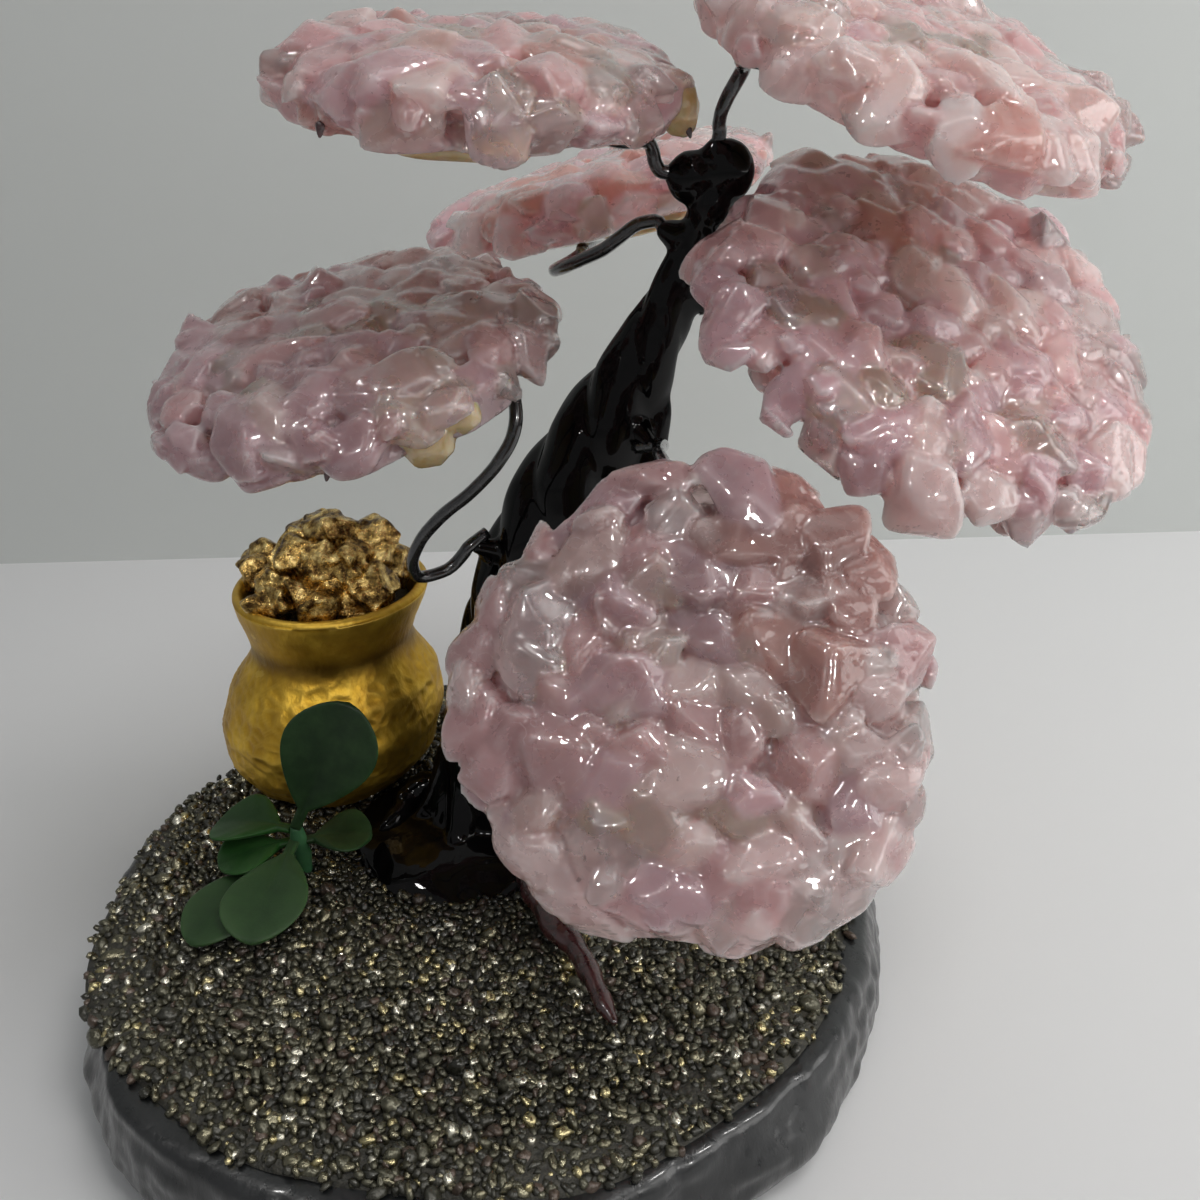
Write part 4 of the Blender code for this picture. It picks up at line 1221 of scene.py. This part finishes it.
def build_nugget(number, look):
    """One lump of pyrite: several blocky crystals grown together."""
    node = f"nugget_{number}"
    rng = np.random.default_rng(70 + number)
    low, high = box(node)
    pot_top, _ = outline("pot", box("pot")[1][2] - 1.5 * MM)
    centre = (low + high) / 2
    away = (centre - pot_top)[:2]
    inward = away[1] < 0 or away[0] > 4 * MM
    centre[:2] += away * (-NUGGET_PULL if inward else NUGGET_SPREAD)
    centre[2] -= (centre[2] - pot_top[2]) * NUGGET_SINK
    half = (high - low) / 2 * NUGGET_SWELL
    parts = []
    for i in range(7):
        shift = rng.normal(size=3)
        shift *= 0.55 / np.linalg.norm(shift) * (i > 0)
        size = half * rng.uniform(0.55, 0.8)
        parts.append((stone(rng, size, int(rng.integers(7, 11)), 26.0) + shift * half, STONE_FACES))
    points, faces = merged(parts)
    lump = new_object("pyrite_" + str(number), points + centre, faces)
    bond(lump, 0.26 * MM, 1)
    skin = mesh_points(lump)
    push_out(lump, 0.20 * MM * lattice_noise(skin, 1.1 * MM, number))
    lump.data.materials.append(look)
    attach(lump, "base")
    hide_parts(node)


# ---------------------------------------------------------------- sprig

def principal_frame(node, start):
    """(stalk end, length, width, along, normal) of a flat CAD leaf whose stalk end is nearer start."""
    points = node_points(node)
    centre = (points.min(0) + points.max(0)) / 2
    _, _, ways = np.linalg.svd(points - points.mean(0), full_matrices=False)
    along = ways[0] * np.sign(np.dot(points.mean(0) - start, ways[0]) or 1)
    reach = (points - centre) @ along
    spread = (points - centre) @ ways[1]
    base = centre + along * reach.min() + ways[1] * (spread.max() + spread.min()) / 2
    normal = ways[2] * (1 if ways[2][2] > 0 or ways[2][1] < -0.5 else -1)
    return base, np.ptp(reach), np.ptp(spread), along, normal


LEAF_ROOT = 0.8 * MM                            # how far a stalk runs into the stem
STALK_SHARE = 0.13                              # share of a leaf's length that is stalk


def build_leaf(node, start, shades, cup, broad, look):
    """A thick spoon-shaped leaf with a folded midrib and soft side veins."""
    base, length, width, along, normal = principal_frame(node, start)
    base = base - along * LEAF_ROOT
    length += LEAF_ROOT
    width *= broad
    across = np.cross(along, normal)
    rings = 64
    sides = 48
    points = []
    depth = []
    for t in np.linspace(0, 1, rings):
        blade = max(0.0, (t - STALK_SHARE) / (1 - STALK_SHARE))
        half = width / 2 * (math.sin(math.pi * blade ** 1.5) ** 0.55 if 0 < blade < 1 else 0.0)
        half = max(half, (0.75 if t < 0.5 else 0.05) * MM * (1 - 0.2 * t))
        thick = (0.55 + 0.35 * math.sin(math.pi * t)) * MM * (0.25 if t > 0.985 else 1.0)
        for k in range(sides):
            angle = 2 * math.pi * k / sides
            side = math.cos(angle)
            s = side * half
            fold = cup * (abs(side) ** 1.8) * half / (width / 2)
            rib = -0.25 * MM * math.exp(-(side * 7) ** 2) * math.sin(math.pi * t)
            vein = 0.07 * MM * math.cos(9 * math.pi * (t - 0.30 * abs(side))) * abs(side) * (half > MM)
            lift = fold + (0.6 * rib + 0.5 * vein) * (1 if math.sin(angle) >= 0 else -0.6)
            arch = 0.10 * length * math.sin(math.pi * t * 0.9) - 0.04 * length * t
            local = (along * t * length + across * s
                     + normal * (thick * math.sin(angle) * 0.8 + lift + arch * 0.35))
            points.append(base + local)
            depth.append(min(1.0, abs(side) * 0.8 + 0.25 * t))
    leaf = new_object(node + "_blade", points, grid_faces(rings, sides))
    dark, light = np.array(shades[0]), np.array(shades[1])
    colours = dark + (light - dark) * np.array(depth)[:, None] ** 2
    paint(leaf, "leaf", np.column_stack((colours, np.ones(len(colours)))))
    leaf.data.materials.append(look)
    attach(leaf, "base")
    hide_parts(node)


def build_sprig(look):
    low, high = box("sprig_stem")
    points = node_points("sprig_stem")
    top = points[points[:, 2] > high[2] - 0.6 * MM].mean(0)
    foot = points[points[:, 2] < low[2] + 0.6 * MM].mean(0)
    line = smooth_line((foot, (foot + top) / 2 + (0.3 * MM, 0, 0), top), 60)
    radius = np.interp(np.linspace(0, 1, 60), (0, 0.5, 0.8, 1.0), (1.3, 1.15, 1.25, 0.7)) * MM
    radius *= 1 + 0.06 * np.sin(np.linspace(0, 22, 60))
    stem = new_object("stem", *tube(line, radius, 24))
    paint(stem, "leaf", np.tile((0.035, 0.12, 0.05, 1.0), (len(stem.data.vertices), 1)))
    stem.data.materials.append(look)
    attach(stem, "base")
    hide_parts("sprig_stem")
    deep = ((0.006, 0.024, 0.005), (0.012, 0.042, 0.009))
    fresh = ((0.008, 0.050, 0.006), (0.018, 0.088, 0.012))
    dusty = ((0.020, 0.054, 0.016), (0.042, 0.092, 0.030))
    for node, shades, cup, broad in (("leaf_upper", deep, 1.6, 0.92), ("leaf_rear", deep, 0.9, 1.2),
                                     ("leaf_left_upper", fresh, 1.2, 1.25),
                                     ("leaf_left_lower", fresh, 0.8, 1.25),
                                     ("leaf_front_left", dusty, 0.8, 1.15),
                                     ("leaf_front_right", dusty, 0.9, 1.1)):
        build_leaf(node, top, shades, cup * MM, broad, look)


# ---------------------------------------------------------------- camera, light and stage

def plain(name, colour, roughness):
    look = Look(name)
    shade = look.ramp(look.noise(0.4, 1.0), (0.3, colour), (0.7, tuple(part * 1.02 for part in colour)))
    look.set(Base_Color=shade, Roughness=roughness)
    return look


WALL_GAP = 0.068                                # from the back of the tree to the wall


def build_stage():
    """A white table top and a grey-green wall behind it, which is not seen from its back."""
    floor = new_object("floor", ((-2, -2, 0), (2, -2, 0), (2, 2, 0), (-2, 2, 0)), ((0, 1, 2, 3),), False)
    floor.data.materials.append(plain("table_white", (0.76, 0.76, 0.765), 0.5).material)
    back = CAD_BOX[1][1] + WALL_GAP
    wall = new_object("wall", ((-2, back, -0.01), (2, back, -0.01), (2, back, 1.5), (-2, back, 1.5)),
                      ((0, 1, 2, 3),), False)
    look = plain("wall_green_grey", (0.60, 0.62, 0.605), 0.8)
    output = next(n for n in look.tree.nodes if n.type == "OUTPUT_MATERIAL")
    see_through = look.node("ShaderNodeBsdfTransparent")
    chooser = look.node("ShaderNodeMixShader")
    behind = look.node("ShaderNodeNewGeometry").outputs["Backfacing"]
    look.put(chooser.inputs[0], behind)
    look.put(chooser.inputs[1], look.surface.outputs["BSDF"])
    look.put(chooser.inputs[2], see_through.outputs["BSDF"])
    look.put(output.inputs["Surface"], chooser.outputs["Shader"])
    wall.data.materials.append(look.material)


def area_light(name, location, size, power, shine=True, fill=True):
    """A square lamp. shine lets it show in gloss, and fill lets it light matt surfaces."""
    data = bpy.data.lights.new(name, "AREA")
    data.shape = "SQUARE"
    data.size = size
    data.energy = power
    data.color = WARM
    lamp = bpy.data.objects.new(name, data)
    lamp.location = location
    lamp.rotation_euler = (Vector(HEART) - Vector(location)).to_track_quat("-Z", "Y").to_euler()
    lamp.visible_glossy = shine
    lamp.visible_diffuse = fill
    bpy.context.scene.collection.objects.link(lamp)


HEART = (0.02, 0, 0.06)                         # the point that every lamp faces
WARM = (1.0, 0.985, 0.965)
GLINT_SIZE = 0.028
GLINT_POWER = 0.34
GLINTS = (                                      # small lamps that show only in gloss
    (0.30, -0.10, 0.42), (0.04, -0.34, 0.46), (-0.20, -0.02, 0.52), (0.14, -0.42, 0.30),
    (-0.12, -0.36, 0.36), (0.10, -0.12, 0.60), (0.30, -0.36, 0.26),
)


def build_light():
    world = bpy.data.worlds.new("room")
    bpy.context.scene.world = world
    world.use_nodes = True
    world.node_tree.nodes["Background"].inputs["Color"].default_value = (0.83, 0.84, 0.85, 1)
    world.node_tree.nodes["Background"].inputs["Strength"].default_value = 0.38
    area_light("window", (0.20, -0.10, 0.50), 0.22, 0.90, shine=False)
    area_light("side_window", (0.42, -0.12, 0.20), 0.28, 0.72)
    for number, location in enumerate(GLINTS):
        area_light(f"glint_{number}", location, GLINT_SIZE, GLINT_POWER, fill=False)


CAMERA_PLACE = (0.01626, -0.12581, 0.11614)
CAMERA_TILT = 26.635                            # degrees below level
CAMERA_ROLL = -1.566
CAMERA_LENS = 36.0                              # millimetres, and the same for the sensor


def build_camera():
    """Looks down on the tree from close in front, with a slight roll, as a phone held by hand."""
    data = bpy.data.cameras.new("camera")
    data.lens = CAMERA_LENS
    data.sensor_width = CAMERA_LENS
    data.clip_start = 0.005
    camera = bpy.data.objects.new("camera", data)
    bpy.context.scene.collection.objects.link(camera)
    place = Matrix.Translation(CAMERA_PLACE)
    pitch = Matrix.Rotation(math.radians(90 - CAMERA_TILT), 4, "X")
    roll = Matrix.Rotation(math.radians(CAMERA_ROLL), 4, "Z")
    camera.matrix_world = place @ pitch @ roll
    bpy.context.scene.camera = camera
    bpy.context.scene.view_settings.view_transform = "Standard"


# ---------------------------------------------------------------- the whole tree

def build():
    quartz = quartz_look()
    glue = glue_look()
    wire = wire_look("black_wire_look", (0.020, 0.020, 0.021), 0.5)
    burnt = red_clay_look()
    copper = wire_look("bare_wire_look", (0.16, 0.15, 0.15), 1.0)
    for number, name in enumerate(BRANCHES):
        centre, radius, axes = build_cluster(name, 100 + number, quartz)
        build_glue(name, number, centre, radius, axes, glue)
        build_wire(name, wire)
        if name in NIBS:
            build_nibs(name, centre, radius, axes, burnt)
        core = frame["nodes"]["core_wire_" + name]
        core.data.materials.clear()
        core.data.materials.append(copper)
    clay = clay_look()
    build_trunk(clay)
    build_root("root_left", clay)
    build_root("root_right", clay)
    build_root("root_front", burnt)
    build_slice(wood_look())
    build_grit(*build_bed(bed_look()), grit_look())
    build_pot(gold_look())
    build_fill(bed_look())
    nugget = nugget_look()
    for number in range(1, 13):
        build_nugget(number, nugget)
    build_sprig(leaf_look())
    build_stage()
    build_light()
    build_camera()


build()
